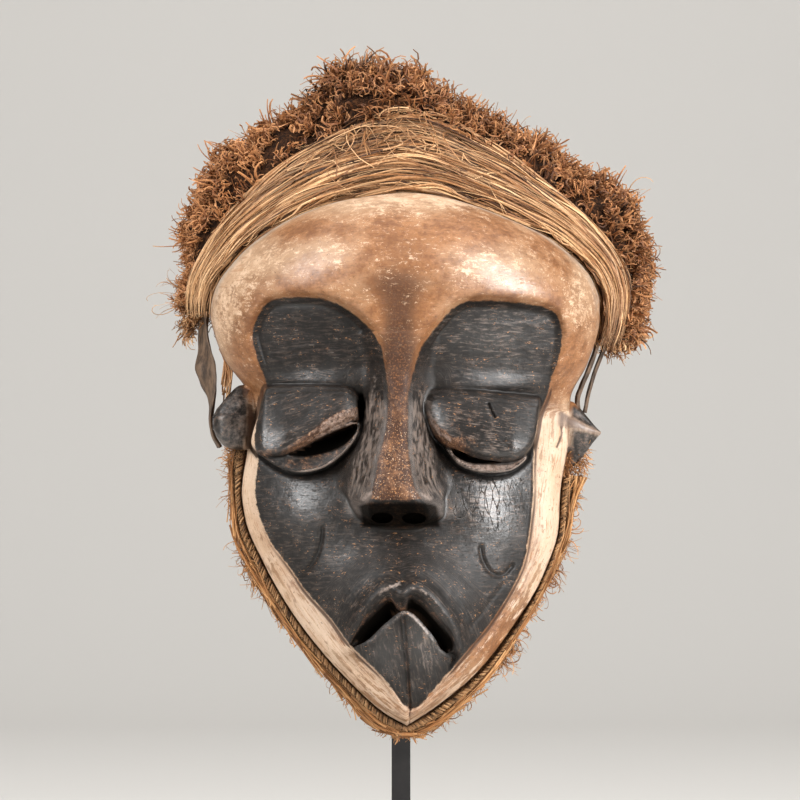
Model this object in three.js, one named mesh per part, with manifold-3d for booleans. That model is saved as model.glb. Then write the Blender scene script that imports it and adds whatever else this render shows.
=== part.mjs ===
// A carved wooden Pende mask with a raffia coiffure, held up on a steel display stand.
// Millimetres, +Z up. The face looks towards -Y, and +X is to the viewer's right.
// The origin is the middle of the underside of the stand's base.
// The mask's own sizes are given as x, z above the chin, and depth towards the viewer.
import * as THREE from 'three';
import { mergeVertices } from 'three/addons/utils/BufferGeometryUtils.js';
import { ConvexGeometry } from 'three/addons/geometries/ConvexGeometry.js';
import Module from 'manifold-3d';

const wasm = await Module();
wasm.setup();

// Driving dimensions
const FACE_TOP = 271;           // top of the wood above the chin's zero line
const CHIN_TIP = 4;
const WALL = 11;                // thickness of the carved wood
const WALL_DRAW = 0.03;         // share by which the side wall draws in towards the back
const GAP = 0.5;                // clearance between separate pieces
const LIFT = 90;                // chin's zero line above the floor
const MASK_FORWARD = 4;         // the mask's depth zero stands this far in front of the base's middle
const BASE_SIDE = 150;
const BASE_THICK = 10;
const POST_SIDE = 9.5;
const POST_DEPTH = -12;
const POST_TOP = 254;
const CAP_FLOOR = 197;          // level of the coiffure's lower edge
const CAP_BACK = -132;
const CAP_THICK = 14;
const CAP_WIDEST = -56;         // depth at which the coiffure is widest
const TUFT = 2;                 // how far the tufts of the cap rise and fall
const BAND_BACK = -14;
const BAND_THICK = 13;
const STEP = 1.5;               // half the width over which a carved step runs

const BROWN_WOOD = 0x8a6546;
const BAND_FIBRE = 0xa9793f;
const CAP_FIBRE = 0x6b4428;
const BINDING_FIBRE = 0x8a6a45;
const STRAP_HIDE = 0x5a463a;
const DARK_STEEL = 0x2b2a2b;

// Curves and fields

function smoothCurve(knots) {
  const u = knots.map((knot) => knot[0]);
  const v = knots.map((knot) => knot[1]);
  const last = u.length - 1;
  const rise = u.slice(1).map((value, i) => (v[i + 1] - v[i]) / (value - u[i]));
  const slope = v.map((value, i) => {
    if (i === 0) return rise[0];
    if (i === last) return rise[last - 1];
    const product = rise[i - 1] * rise[i];
    return product > 0 ? 2 * product / (rise[i - 1] + rise[i]) : 0;
  });
  return (at) => {
    const q = Math.min(Math.max(at, u[0]), u[last]);
    let i = 0;
    while (i < last - 1 && q >= u[i + 1]) i += 1;
    const step = u[i + 1] - u[i];
    const s = (q - u[i]) / step;
    const start = 1 + s * s * (2 * s - 3);
    const bend = s * ((1 - s) ** 2 * slope[i] - s * (1 - s) * slope[i + 1]);
    return start * v[i] + (1 - start) * v[i + 1] + step * bend;
  };
}

function ease(value, low, high) {
  return THREE.MathUtils.smoothstep(value, low, high);
}

function larger(a, b, blend) {
  const h = THREE.MathUtils.clamp(0.5 + 0.5 * (a - b) / blend, 0, 1);
  return b * (1 - h) + a * h + blend * h * (1 - h);
}

function mound(x, z, centreX, centreZ, wideX, wideZ, height) {
  return height * Math.exp(-(((x - centreX) / wideX) ** 2) - ((z - centreZ) / wideZ) ** 2);
}

// A rounded chain of points through a few corners, closed unless told otherwise
function rounded(corners, steps, closed = true) {
  const points = corners.map(([x, z]) => new THREE.Vector3(x, 0, z));
  const curve = new THREE.CatmullRomCurve3(points, closed, 'catmullrom', 0.5);
  const spans = closed ? corners.length : corners.length - 1;
  return curve.getPoints(spans * steps).map((point) => [point.x, point.z]);
}

function lineDistance(x, z, line) {
  let best = Infinity;
  for (let i = 0; i + 1 < line.length; i += 1) {
    const [ax, az] = line[i];
    const [bx, bz] = line[i + 1];
    const length = (bx - ax) ** 2 + (bz - az) ** 2 + 1e-12;
    const t = THREE.MathUtils.clamp(((x - ax) * (bx - ax) + (z - az) * (bz - az)) / length, 0, 1);
    best = Math.min(best, Math.hypot(x - ax - t * (bx - ax), z - az - t * (bz - az)));
  }
  return best;
}

// Distance to a closed outline, positive inside it
function insideDistance(x, z, line) {
  let odd = false;
  for (let i = 0; i + 1 < line.length; i += 1) {
    const [ax, az] = line[i];
    const [bx, bz] = line[i + 1];
    if ((az > z) !== (bz > z) && x < ax + (z - az) / (bz - az) * (bx - ax)) odd = !odd;
  }
  return lineDistance(x, z, line) * (odd ? 1 : -1);
}

// The outline of the wood, seen from the front: x of its left and right edge by height

const leftEdge = smoothCurve([
  [4, 3], [9.7, -7.5], [19.2, -19], [42.2, -41], [63, -56.6], [84.5, -69], [106, -78.2], [120, -80.2],
  [143, -77.3], [158, -75.5], [169, -77], [187.5, -89.5], [199, -94], [210.5, -96.5], [220.7, -94.7],
  [239.8, -81.2], [255.7, -59.7], [265.3, -35.8], [268.5, -19.8], [271, 0],
]);
const rightEdge = smoothCurve([
  [4, 3], [12.6, 16.4], [29.8, 37.5], [50.6, 54.3], [78.3, 71.3], [102.5, 79.3], [120, 80.3],
  [146.5, 84.5], [166.7, 85.5], [185.5, 94.5], [207.7, 100.6], [215, 100.6], [226, 97.3], [245.8, 78.2],
  [259.9, 49.2], [265.7, 32.6], [269.8, 16], [271, 0],
]);

// Depths on the middle line and at the edges, by height

const rimDepth = smoothCurve([
  [4, 36], [30, 31], [60, 24], [90, 17], [126, 12], [160, 8], [190, 5], [215, 5], [240, 9], [260, 15],
  [271, 18],
]);
const domeDepth = smoothCurve([
  [150, 50], [170, 60], [185, 66], [195, 69], [207, 71], [220, 71], [232, 68.5], [244, 62], [254, 53],
  [262, 42], [268, 30], [271, 20],
]);
const faceDepth = smoothCurve([
  [4, 42], [13, 46], [25, 53], [45, 58], [65, 59], [80, 57], [95, 53], [110, 51], [130, 49], [150, 48.5],
  [165, 49], [180, 50], [195, 53], [210, 57], [222, 60],
]);
const cheekDepth = smoothCurve([
  [4, 38], [25, 42], [45, 40], [65, 36], [85, 31], [105, 28], [126, 25], [150, 26], [170, 29], [190, 32],
  [205, 33], [222, 34],
]);
const hollowDepth = smoothCurve([
  [4, 24], [30, 42], [60, 44], [100, 39.5], [150, 37], [180, 38], [205, 48], [232, 50], [255, 36], [271, 12],
]);
const backDepth = smoothCurve([[4, -2], [40, -12], [90, -24], [140, -30], [210, -34], [271, -24]]);

// The carved fields of the face: each outline runs once round, as x and height

const DARK_FIELD = rounded([
  [5, 12.5], [-8.5, 28], [-25.5, 45], [-35.5, 58], [-47.5, 71], [-56, 83], [-64, 93], [-69, 102.5],
  [-72.5, 113], [-73.5, 123.5], [-72, 135.5], [-74.5, 146.5], [-70, 159], [-69.5, 167.5], [-67.5, 174],
  [-71.5, 185.5], [-74.5, 199], [-70, 211], [-62, 217], [-42.5, 217.5], [-29, 213], [-18, 205], [-11, 196],
  [-8, 187], [-6.5, 175.5], [-4, 166.5], [-1.5, 160.5], [1.5, 166.5], [4, 174], [6, 181.5], [9.5, 192],
  [18, 204], [27, 213], [37, 216], [59, 215], [74, 212], [79, 206.5], [80.5, 197.5], [79, 187],
  [75.5, 177.5], [73.5, 168.5], [68, 154], [66.5, 134], [66.5, 119.5], [65, 105], [62, 86.5], [56, 73],
  [44.5, 55], [32, 40.5], [18.5, 25],
], 3);
const LEFT_EYE = {
  lid: rounded([
    [-69.5, 172.5], [-54.5, 173.5], [-40.5, 174], [-26.5, 174.5], [-16.5, 176], [-17.5, 170.5],
    [-19.5, 164.5], [-22, 156.5], [-29, 153], [-38.5, 148.5], [-47.5, 144], [-55.5, 140.5],
    [-65.5, 138.5], [-72, 141], [-75, 146], [-73, 154], [-70, 165.5],
  ], 3),
  lowerLid: rounded([
    [-72, 141.5], [-67.5, 137.5], [-61.5, 133.5], [-54.5, 131], [-45, 131], [-35.5, 134.5],
    [-27, 141.5], [-22, 148.5], [-20.5, 155.5], [-29, 154.5], [-47.5, 146.5], [-60.5, 142.5],
  ], 3),
  slit: [[-57, 139.5], [-47.5, 143.5], [-38.5, 148], [-29, 152.5], [-22, 155], [-23, 151], [-28.5, 146],
    [-38, 141], [-47.5, 139]],
  ridgeHeight: 173.5, ridgeSlope: 0.03, middle: -30, lidRise: 8, lowerDepth: 52.5,
};
const RIGHT_EYE = {
  lid: rounded([
    [9.5, 172.5], [19.5, 172.5], [34.5, 171], [49.5, 169.5], [64.5, 168], [72.5, 167.5], [71, 162.5],
    [68, 154], [65, 144.5], [61.5, 138.5], [56.5, 136], [50, 134.5], [43, 135], [36, 137], [30.5, 139],
    [25, 142], [19.5, 146.5], [15, 151], [12.5, 159], [10.5, 166.5],
  ], 3),
  lowerLid: rounded([
    [22.5, 144.5], [24.5, 138.5], [30, 133.5], [38.5, 131], [49.5, 131], [56.5, 133], [62.5, 138],
    [56.5, 140.5], [39.5, 140.5],
  ], 3),
  slit: [[24, 144], [27.5, 143], [33, 140.3], [39, 137.8], [46, 136], [53, 135.2], [46, 134.6],
    [38.5, 135.2], [32, 137], [27, 140]],
  ridgeHeight: 171.5, ridgeSlope: -0.06, middle: 32, lidRise: 8.5, lowerDepth: 53,
};
const LID_ENDS = [-0.92, -0.27, 0.1, 0.8];  // across the face, as shares of its half width
const LIP_ARCH = rounded([
  [-25, 44], [-23.5, 51.5], [-19, 61.5], [-13, 69.5], [-6.5, 74], [0.5, 71.5], [6, 74.5], [13, 71],
  [20, 63], [26, 54], [29.5, 43.5],
], 3, false);
const MOUTH = [
  [-25.5, 45], [-22.5, 52.5], [-17.5, 60.5], [-11.5, 67.5], [-7, 70.5], [-2.5, 67.5], [0.5, 66], [4, 71],
  [9, 70.5], [14.5, 65.5], [20.5, 58], [26, 50], [27, 45], [25, 41], [20, 43], [16.5, 49], [10.5, 56.5],
  [6, 61], [1.5, 62.5], [-2.5, 60.5], [-9.5, 54.5], [-15, 49], [-20.5, 45.5],
];
const CHIN = rounded([
  [1.5, 63], [6, 61.5], [10.5, 57], [16.5, 49.5], [20.5, 43.5], [27.5, 38.5], [18.5, 25], [5, 12.5],
  [-8.5, 28], [-24.5, 44], [-15, 49], [-9.5, 54.5], [-2.5, 60.5],
], 2);
const SCARS = [
  rounded([[-39, 103], [-40, 95], [-42.5, 88], [-46.5, 82], [-51.5, 78]], 2, false),
  rounded([[39.5, 93.5], [40.5, 87.5], [44, 81.5], [50, 79], [55.5, 84]], 2, false),
];
const SLIT_DEPTH = 55;          // depth at which the slits have their outlines
const SLIT_RISE = 0.65;         // climb of the slits for each millimetre further in
const MOUTH_DEPTH = 62;         // depth at which the mouth has its outline
const MOUTH_REACH = 45;         // behind it, the depth at which the mouth would narrow to its end
const MOUTH_END = { x: 1, z: 30 };
const NOSTRILS = [
  { x: -9.3, z: 108.4, wide: 5.2, high: 2.7 },
  { x: 6.4, z: 108.2, wide: 5.8, high: 2.8 },
];

// The nose: middle line, half width of its flat ridge, depth and slope of its flanks, by height

const noseMiddle = smoothCurve([
  [100, 0], [108, -0.3], [116, -2], [126, -3.6], [137, -3.6], [146, -2.8], [156, -1.8], [200, -1],
]);
const noseHalf = smoothCurve([
  [100, 16], [106, 17.5], [111, 16.5], [118, 12.5], [126, 9.6], [137, 7.3], [146, 5.7], [156, 4.8],
  [170, 4.4], [180, 5], [190, 7.5], [200, 11],
]);
const noseDepth = smoothCurve([
  [99, 40], [103, 54], [108, 66], [113, 75], [116, 79], [119, 81], [123, 80.8], [128, 79], [136, 75.5],
  [146, 71.5], [156, 68.5], [166, 66.5], [176, 66], [186, 67], [196, 69],
]);
const noseSlope = smoothCurve([
  [100, 3.4], [110, 2.8], [118, 1.9], [126, 1.3], [140, 1.15], [160, 1.25], [180, 1.4],
]);

function noseForm(x, z) {
  if (z > 200) return -100;
  const across = x - noseMiddle(z);
  const off = Math.abs(across) - noseHalf(z);
  const fall = noseSlope(z) * (Math.hypot(off, 1.6) + off) / 2;
  return noseDepth(z) - fall - 0.012 * across ** 2 - Math.max(100 - z, 0) * 4;
}

function carveEye(x, z, depth, eye) {
  const inLower = insideDistance(x, z, eye.lowerLid);
  const lower = ease(inLower, -STEP, STEP);
  const shelf = eye.lowerDepth - 0.22 * Math.max(inLower, 0);
  const withLower = depth * (1 - lower) + Math.max(shelf, depth) * lower;
  const inLid = insideDistance(x, z, eye.lid);
  const below = Math.max(eye.ridgeHeight + eye.ridgeSlope * (x - eye.middle) - z, 0);
  const ridge = 50.5 - 0.004 * (x - eye.middle) ** 2;
  const turn = 8;
  const edge = THREE.MathUtils.clamp(inLid, 0, turn);
  const roll = 0.75 * (Math.sqrt(turn ** 2 - (turn - edge) ** 2) - turn) * Math.min(below / 7, 1);
  const lidDepth = ridge + eye.lidRise * (1 - Math.exp(-below / 9)) + roll * 0.8;
  const upper = ease(inLid, -STEP, STEP);
  return withLower * (1 - upper) + larger(depth, lidDepth, 0.6) * upper;
}

// Depth of the carved front at a point of the outline's plane
function frontDepth(x, z) {
  const left = leftEdge(z);
  const right = rightEdge(z);
  const half = Math.max((right - left) / 2, 0.5);
  const across = Math.min(Math.abs(x - (left + right) / 2) / half, 1);
  const rim = rimDepth(z);
  const dome = rim + (domeDepth(z) - rim) * (1 - across ** 2.5) ** 0.6;
  let face = faceDepth(z) - (faceDepth(z) - cheekDepth(z)) * (across / 0.87) ** 2.2;
  face += mound(x, z, -50, 113, 22, 20, 3.5) + mound(x, z, 46, 112, 20, 18, 4.5);
  face += mound(x, z, 2, 74, 30, 20, 5);
  face -= mound(x, z, -17, 150, 8, 22, 5) + mound(x, z, 15, 150, 8, 22, 5.5);
  const fromEdge = Math.max(Math.min(x - left, right - x), 0);
  const frame = Math.min(rim + 1.5 + Math.min(fromEdge * 1.5, 6.5 + fromEdge * 0.45), face + 1.4);
  const upper = ease(z, 158, 186);
  const field = insideDistance(x, z, DARK_FIELD);
  const brow = ease(z, 170, 190);
  const outer = dome * upper + Math.min(frame, dome) * (1 - upper)
    - brow * 2.2 * Math.exp(-Math.max(-field, 0) / 3.5);
  const sunk = ease(field, -0.8 - 2.2 * brow, 1.6 + 2.6 * brow);
  let depth = outer * (1 - sunk) + face * sunk;
  depth += 4 * Math.exp(-((lineDistance(x, z, LIP_ARCH) / 4.2) ** 2));
  const inChin = insideDistance(x, z, CHIN);
  const chinDepth = 47 + Math.max(z - 13, 0) * 0.36 - 0.012 * (x - 2) ** 2
    - 2 * Math.exp(-Math.max(inChin, 0) / 2.5);
  const chin = ease(inChin, -STEP, STEP);
  depth = depth * (1 - chin) + chinDepth * chin;
  depth = larger(depth, noseForm(x, z), 1.5 + 4.5 * ease(z, 112, 128));
  depth += mound(x, z, -42, 172, 26, 4.5, 2.5) + mound(x, z, 40, 170, 26, 4.5, 2.5);
  depth = carveEye(x, z, depth, LEFT_EYE);
  depth = carveEye(x, z, depth, RIGHT_EYE);
  for (const scar of SCARS) depth -= 1.6 * Math.exp(-((lineDistance(x, z, scar) / 1.6) ** 2));
  return depth;
}

// Solids from faces

function volume(geometry, index) {
  const position = geometry.getAttribute('position');
  const corner = (i) => new THREE.Vector3().fromBufferAttribute(position, index[i]);
  let sum = 0;
  for (let i = 0; i < index.length; i += 3) sum += corner(i).dot(corner(i + 1).cross(corner(i + 2))) / 6;
  return sum;
}

function closedGeometry(faces) {
  const triangles = faces.flatMap((face) => (face.length === 4
    ? [[face[0], face[1], face[2]], [face[0], face[2], face[3]]]
    : [face]));
  const position = new THREE.Float32BufferAttribute(triangles.flat().flatMap((p) => p.toArray()), 3);
  const merged = mergeVertices(new THREE.BufferGeometry().setAttribute('position', position), 1e-3);
  const index = merged.getIndex().array;
  const kept = [];
  for (let i = 0; i < index.length; i += 3) {
    const [a, b, c] = index.slice(i, i + 3);
    if (a !== b && b !== c && c !== a) kept.push(a, b, c);
  }
  merged.setIndex(volume(merged, kept) > 0 ? kept : kept.reverse());
  return merged;
}

// The geometry as a body that can be joined and cut
function solid(geometry) {
  const bare = geometry.clone();
  for (const name of Object.keys(bare.attributes)) {
    if (name !== 'position') bare.deleteAttribute(name);
  }
  const merged = mergeVertices(bare, 1e-3);
  const mesh = new wasm.Mesh({
    numProp: 3,
    vertProperties: new Float32Array(merged.getAttribute('position').array),
    triVerts: new Uint32Array(merged.getIndex().array),
  });
  return new wasm.Manifold(mesh);
}

function geometryOf(manifold) {
  const mesh = manifold.getMesh();
  const geometry = new THREE.BufferGeometry();
  geometry.setAttribute('position', new THREE.Float32BufferAttribute(mesh.vertProperties, 3));
  geometry.setIndex(Array.from(mesh.triVerts));
  return geometry;
}

function at(x, depth, z) {
  return new THREE.Vector3(x, -depth, z);
}

// A closed solid through rings of the same number of points, with its two ends capped
function loft(rings) {
  const faces = [];
  const count = rings[0].length;
  for (let i = 0; i + 1 < rings.length; i += 1) {
    for (let k = 0; k < count; k += 1) {
      const next = (k + 1) % count;
      faces.push([rings[i][k], rings[i][next], rings[i + 1][next], rings[i + 1][k]]);
    }
  }
  const cap = (ring, turned) => {
    const middle = ring.reduce((sum, p) => sum.add(p), new THREE.Vector3()).divideScalar(count);
    ring.forEach((p, k) => {
      const next = ring[(k + 1) % count];
      faces.push(turned ? [middle, next, p] : [middle, p, next]);
    });
  };
  cap(rings[0], true);
  cap(rings[rings.length - 1], false);
  return closedGeometry(faces);
}

// Turns a face so that its diagonal joins the two corners that are nearer in depth
function alongStep([a, b, c, d]) {
  return Math.abs(a.y - c.y) <= Math.abs(b.y - d.y) ? [a, b, c, d] : [b, c, d, a];
}

// A solid with a modelled front over an outline that closes to a point below and above
function mouldedSolid(levels, columns, edges, front, walls) {
  const grid = levels.map((z, i) => {
    const [left, right] = edges(z);
    const closed = i === 0 || i === levels.length - 1;
    return columns.map((t) => {
      const x = (left + right) / 2 + (closed ? 0 : t * (right - left) / 2);
      return at(x, front(x, z), z);
    });
  });
  const last = columns.length - 1;
  const faces = [];
  for (let i = 0; i + 1 < levels.length; i += 1) {
    for (let j = 0; j < last; j += 1) {
      faces.push(alongStep([grid[i][j], grid[i][j + 1], grid[i + 1][j + 1], grid[i + 1][j]]));
    }
  }
  let sides = grid.map((row) => [row[0], row[last]]);
  for (const wall of walls) {
    const next = grid.map((row) => [wall(row[0]), wall(row[last])]);
    for (let i = 0; i + 1 < levels.length; i += 1) {
      faces.push([sides[i][0], sides[i + 1][0], next[i + 1][0], next[i][0]]);
      faces.push([sides[i][1], next[i][1], next[i + 1][1], sides[i + 1][1]]);
    }
    sides = next;
  }
  for (let i = 0; i + 1 < levels.length; i += 1) {
    faces.push([sides[i][0], sides[i + 1][0], sides[i + 1][1], sides[i][1]]);
  }
  return closedGeometry(faces);
}

function steps(bands) {
  return bands.flatMap(([from, to, count]) => (
    Array.from({ length: count }, (unused, i) => from + (to - from) * i / count)
  ));
}

// Shares of the half width from edge to edge, closer together where a lid ends
function crowdedColumns(count) {
  const crowd = (t) => LID_ENDS.reduce((sum, end) => sum + 1.3 * Math.exp(-(((t - end) / 0.06) ** 2)), 1);
  const fine = 600;
  const total = [0];
  for (let i = 1; i <= fine; i += 1) total.push(total[i - 1] + crowd((2 * i - 1) / fine - 1));
  return Array.from({ length: count + 1 }, (unused, i) => {
    const wanted = total[fine] * i / count;
    const after = Math.max(total.findIndex((sum) => sum >= wanted), 1);
    const share = (wanted - total[after - 1]) / (total[after] - total[after - 1]);
    return 2 * (after - 1 + share) / fine - 1;
  });
}

// A prism along the depth, over a closed outline given as x and height; bend moves its points
function prism(outline, fromDepth, toDepth, bend = (point) => point) {
  const shape = new THREE.Shape(outline.map(([x, z]) => new THREE.Vector2(x, z)));
  const geometry = new THREE.ExtrudeGeometry(shape, { depth: toDepth - fromDepth, bevelEnabled: false });
  geometry.translate(0, 0, fromDepth);
  const { position } = geometry.attributes;
  for (let i = 0; i < position.count; i += 1) {
    const { x, y, z } = bend(new THREE.Vector3().fromBufferAttribute(position, i));
    position.setXYZ(i, x, y, z);
  }
  return geometry.rotateX(Math.PI / 2);
}

// The slits climb and the mouth narrows down behind the chin, so that no light shows straight through

function climbing(point) {
  return point.setY(point.y + SLIT_RISE * (SLIT_DEPTH - point.z));
}

function narrowing(point) {
  const share = 1 - (MOUTH_DEPTH - point.z) / MOUTH_REACH;
  const { x, z } = MOUTH_END;
  return point.set(x + (point.x - x) * share, z + (point.y - z) * share, point.z);
}

function ellipse({ x, z, wide, high }, sides) {
  return Array.from({ length: sides }, (unused, i) => {
    const turn = 2 * Math.PI * i / sides;
    return [x + wide * Math.cos(turn), z + high * Math.sin(turn)];
  });
}

// The wooden face

function drawnIn(point, share) {
  const middle = new THREE.Vector3(3, 0, 150);
  return new THREE.Vector3(
    point.x + (middle.x - point.x) * share,
    point.y,
    point.z + (middle.z - point.z) * share,
  );
}

function outerWood() {
  const levels = [
    ...steps([[CHIN_TIP, 40, 8], [40, 75, 10], [75, 100, 5], [100, 126, 8], [126, 178, 19], [178, 215, 7],
      [215, 255, 5], [255, 267, 3], [267, 270.2, 2]]),
    270.2, FACE_TOP,
  ];
  const columns = crowdedColumns(37);
  const walls = [
    (p) => drawnIn(p, WALL_DRAW * 0.8).setY(p.y + 9),
    (p) => drawnIn(p, WALL_DRAW).setY(-backDepth(p.z)),
  ];
  return mouldedSolid(levels, columns, (z) => [leftEdge(z), rightEdge(z)], frontDepth, walls);
}

function hollowWood() {
  const low = CHIN_TIP + 12;
  const high = FACE_TOP - WALL;
  const shift = smoothCurve([[low, -12], [60, 0], [200, 0], [high, WALL]]);
  const inset = (z) => WALL * Math.sqrt(Math.max(0, 1 - (shift(z) / 12) ** 2));
  const edges = (z) => [leftEdge(z + shift(z)) + inset(z), rightEdge(z + shift(z)) - inset(z)];
  const levels = [
    ...steps([[low, 60, 5], [60, 200, 9], [200, 250, 5], [250, high - 1, 2]]),
    high - 1, high,
  ];
  const columns = Array.from({ length: 15 }, (unused, i) => Math.sin((i / 7 - 1) * Math.PI / 2));
  const front = (x, z) => {
    const [left, right] = edges(z);
    const half = Math.max((right - left) / 2, 0.5);
    const across = Math.min(Math.abs(x - (left + right) / 2) / half, 1);
    const rim = rimDepth(z) - WALL;
    return rim + Math.max(hollowDepth(z) - rim, 0) * (1 - across ** 2.5) ** 0.6;
  };
  const behind = 60;
  return mouldedSolid(levels, columns, edges, front, [(p) => p.clone().setY(behind)]);
}

// An ear is a blunt pyramid: rings from the side wall to the tip, each as a share of the way and a size
function ear({ rootX, rootDepth, rootZ, rootDeep, rootHigh, tip, rings }) {
  const points = [];
  const sides = 10;
  for (const [share, swell] of rings) {
    for (let i = 0; i < sides; i += 1) {
      const turn = 2 * Math.PI * i / sides;
      const x = rootX + (tip.x - rootX) * share;
      const depth = rootDepth + (tip.depth - rootDepth) * share + rootDeep * swell * Math.cos(turn);
      const z = rootZ + (tip.z - rootZ) * share + rootHigh * swell * Math.sin(turn);
      points.push(at(x, depth, z));
    }
  }
  return new ConvexGeometry(points);
}

const LEFT_EAR = {
  rootX: -70, rootDepth: 8, rootZ: 157, rootDeep: 16, rootHigh: 16.5,
  tip: { x: -94.5, depth: 17, z: 155 }, rings: [[0, 1], [0.5, 0.96], [0.85, 0.76], [1, 0.45]],
};
const RIGHT_EAR = {
  rootX: 80, rootDepth: 6, rootZ: 149, rootDeep: 15, rootHigh: 18.5,
  tip: { x: 100.6, depth: 9, z: 150 }, rings: [[0, 1], [0.45, 0.72], [1, 0.08]],
};

function maskFace() {
  let wood = solid(outerWood()).subtract(solid(hollowWood()));
  wood = wood.add(solid(ear(LEFT_EAR)).subtract(solid(hollowWood())));
  wood = wood.add(solid(ear(RIGHT_EAR)).subtract(solid(hollowWood())));
  for (const eye of [LEFT_EYE, RIGHT_EYE]) {
    wood = wood.subtract(solid(prism(eye.slit, 5, 90, climbing)));
  }
  wood = wood.subtract(solid(prism(MOUTH, 30, 75, narrowing)));
  for (const nostril of NOSTRILS) wood = wood.subtract(solid(prism(ellipse(nostril, 10), 60, 90)));
  return geometryOf(wood);
}

// The coiffure: radii round the middle of the cap's floor, by the angle up from the right side

const CAP_CENTRE = { x: 3, z: CAP_FLOOR };
const COIFFURE_TO = 172;        // the left side ends a little higher than the right
const capRadius = smoothCurve([
  [0, 117], [8, 121], [14, 126], [20, 130], [26, 130], [32, 136], [38, 131], [44, 123], [50, 122],
  [56, 124], [62, 120], [68, 121], [74, 122], [80, 126], [86, 133], [92, 140], [98, 138], [104, 142],
  [110, 134], [116, 130], [122, 133], [128, 130], [134, 135], [140, 133], [146, 127], [152, 129],
  [158, 123], [164, 119], [170, 120], [174, 116],
]);
const bandHigh = smoothCurve([
  [0, 11], [20, 17], [45, 23], [70, 31], [90, 38], [110, 33], [135, 23], [160, 14], [180, 9],
]);

function woodRadius(angle) {
  const up = Math.sin(THREE.MathUtils.degToRad(angle));
  const across = Math.cos(THREE.MathUtils.degToRad(angle));
  let inner = 0;
  let outer = 120;
  for (let i = 0; i < 30; i += 1) {
    const r = (inner + outer) / 2;
    const x = CAP_CENTRE.x + r * across;
    const z = CAP_CENTRE.z + r * up;
    const within = z < FACE_TOP && x > leftEdge(z) && x < rightEdge(z);
    if (within) inner = r;
    else outer = r;
  }
  return inner;
}

function round(angle, radius, depth) {
  const turn = THREE.MathUtils.degToRad(angle);
  return at(CAP_CENTRE.x + radius * Math.cos(turn), depth, CAP_CENTRE.z + radius * Math.sin(turn));
}

function angles(count) {
  return Array.from({ length: count + 1 }, (unused, i) => COIFFURE_TO * i / count);
}

function raffiaBand() {
  const rings = angles(28).map((angle) => {
    const wood = woodRadius(angle) + GAP;
    const z = Math.min(CAP_FLOOR + wood * Math.sin(THREE.MathUtils.degToRad(angle)), FACE_TOP);
    const front = rimDepth(z) + 1;
    const high = bandHigh(angle);
    return [
      round(angle, wood, front - 1),
      round(angle, wood + 3.5, front + 1),
      round(angle, wood + 0.6 * high, front - 9),
      round(angle, wood + high, BAND_BACK),
      round(angle, wood + Math.max(high - BAND_THICK, 0), BAND_BACK),
      round(angle, wood, front - 14),
    ];
  });
  return loft(rings);
}

// Half a dome with a flat floor, through arches of falling size from front to back
function archSolid(profile, count, floor, radiusAt) {
  const rings = profile.map(([depth, share]) => {
    const arch = angles(count).map((angle) => round(angle, radiusAt(angle, share, depth), depth));
    const ends = [at(arch[count].x, depth, floor), at(arch[0].x, depth, floor)];
    return floor < CAP_FLOOR ? [...arch, ...ends] : arch;
  });
  return loft(rings);
}

function raffiaCap() {
  const front = BAND_BACK - GAP;
  const tuft = (angle, depth) => (
    TUFT * Math.sin(angle * 0.42 + depth * 0.11) * Math.cos(depth * 0.19 - angle * 0.16)
  );
  const outer = archSolid([
    [front, 0], [-24, 0.55], [-38, 0.88], [CAP_WIDEST, 1], [-74, 0.97], [-92, 0.88], [-108, 0.73],
    [-121, 0.5], [-129, 0.28], [CAP_BACK, 0.08],
  ], 28, CAP_FLOOR, (angle, share, depth) => {
    const full = capRadius(angle) + tuft(angle, depth);
    const meet = woodRadius(angle) + GAP + bandHigh(angle);
    return depth > CAP_WIDEST ? meet + (full - meet) * share : full * share;
  });
  const inner = archSolid([
    [front + 1, 0], [-28, 0.3], [CAP_WIDEST, 1], [-76, 0.96], [-96, 0.82], [-110, 0.62],
    [CAP_BACK + CAP_THICK, 0.2],
  ], 20, CAP_FLOOR - 5, (angle, share, depth) => {
    const full = capRadius(angle) - CAP_THICK;
    const opening = woodRadius(angle) + GAP + Math.max(bandHigh(angle) - BAND_THICK, 0);
    return depth > CAP_WIDEST ? opening + (full - opening) * share : full * share;
  });
  return geometryOf(solid(outer).subtract(solid(inner)));
}

// The binding round the jaw, from behind the left ear under the chin to behind the right ear

const bindingThick = smoothCurve([
  [0, 8], [0.05, 5], [0.1, 6.3], [0.2, 5.7], [0.3, 5.3], [0.4, 7], [0.5, 5], [0.6, 6.6], [0.7, 4.6],
  [0.8, 2.6], [0.88, 3], [0.95, 5.3], [1, 8],
]);
const bindingGap = smoothCurve([[0, GAP], [0.55, GAP], [0.68, 2], [0.78, 2.6], [0.9, GAP], [1, GAP]]);

function jawLine(count) {
  const start = 138;
  const end = 128;
  return Array.from({ length: count + 1 }, (unused, i) => {
    const share = i / count;
    const left = share < 0.5;
    const fall = Math.cos(Math.PI * Math.min(share, 1 - share));
    const z = CHIN_TIP + ((left ? start : end) - CHIN_TIP) * (1 - Math.sqrt(1 - fall ** 2));
    return { share, z, x: left ? leftEdge(z) : rightEdge(z) };
  });
}

function jawBinding() {
  const line = jawLine(38);
  const rings = line.map(({ share, x, z }, i) => {
    const before = line[Math.max(i - 1, 0)];
    const after = line[Math.min(i + 1, line.length - 1)];
    const out = new THREE.Vector2(after.z - before.z, before.x - after.x).normalize();
    const place = (away, back) => at(x + out.x * away, rimDepth(z) - back, z + out.y * away);
    const gap = bindingGap(share);
    const thick = bindingThick(share);
    const onWall = (depthBack, inward) => drawnIn(place(GAP, depthBack), inward * WALL_DRAW);
    return [
      place(gap, 3), place(gap + thick, 4.5), place(gap + thick - 1, 15),
      onWall(17, 0.8), onWall(9, 0.7),
    ];
  });
  return loft(rings);
}

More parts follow.
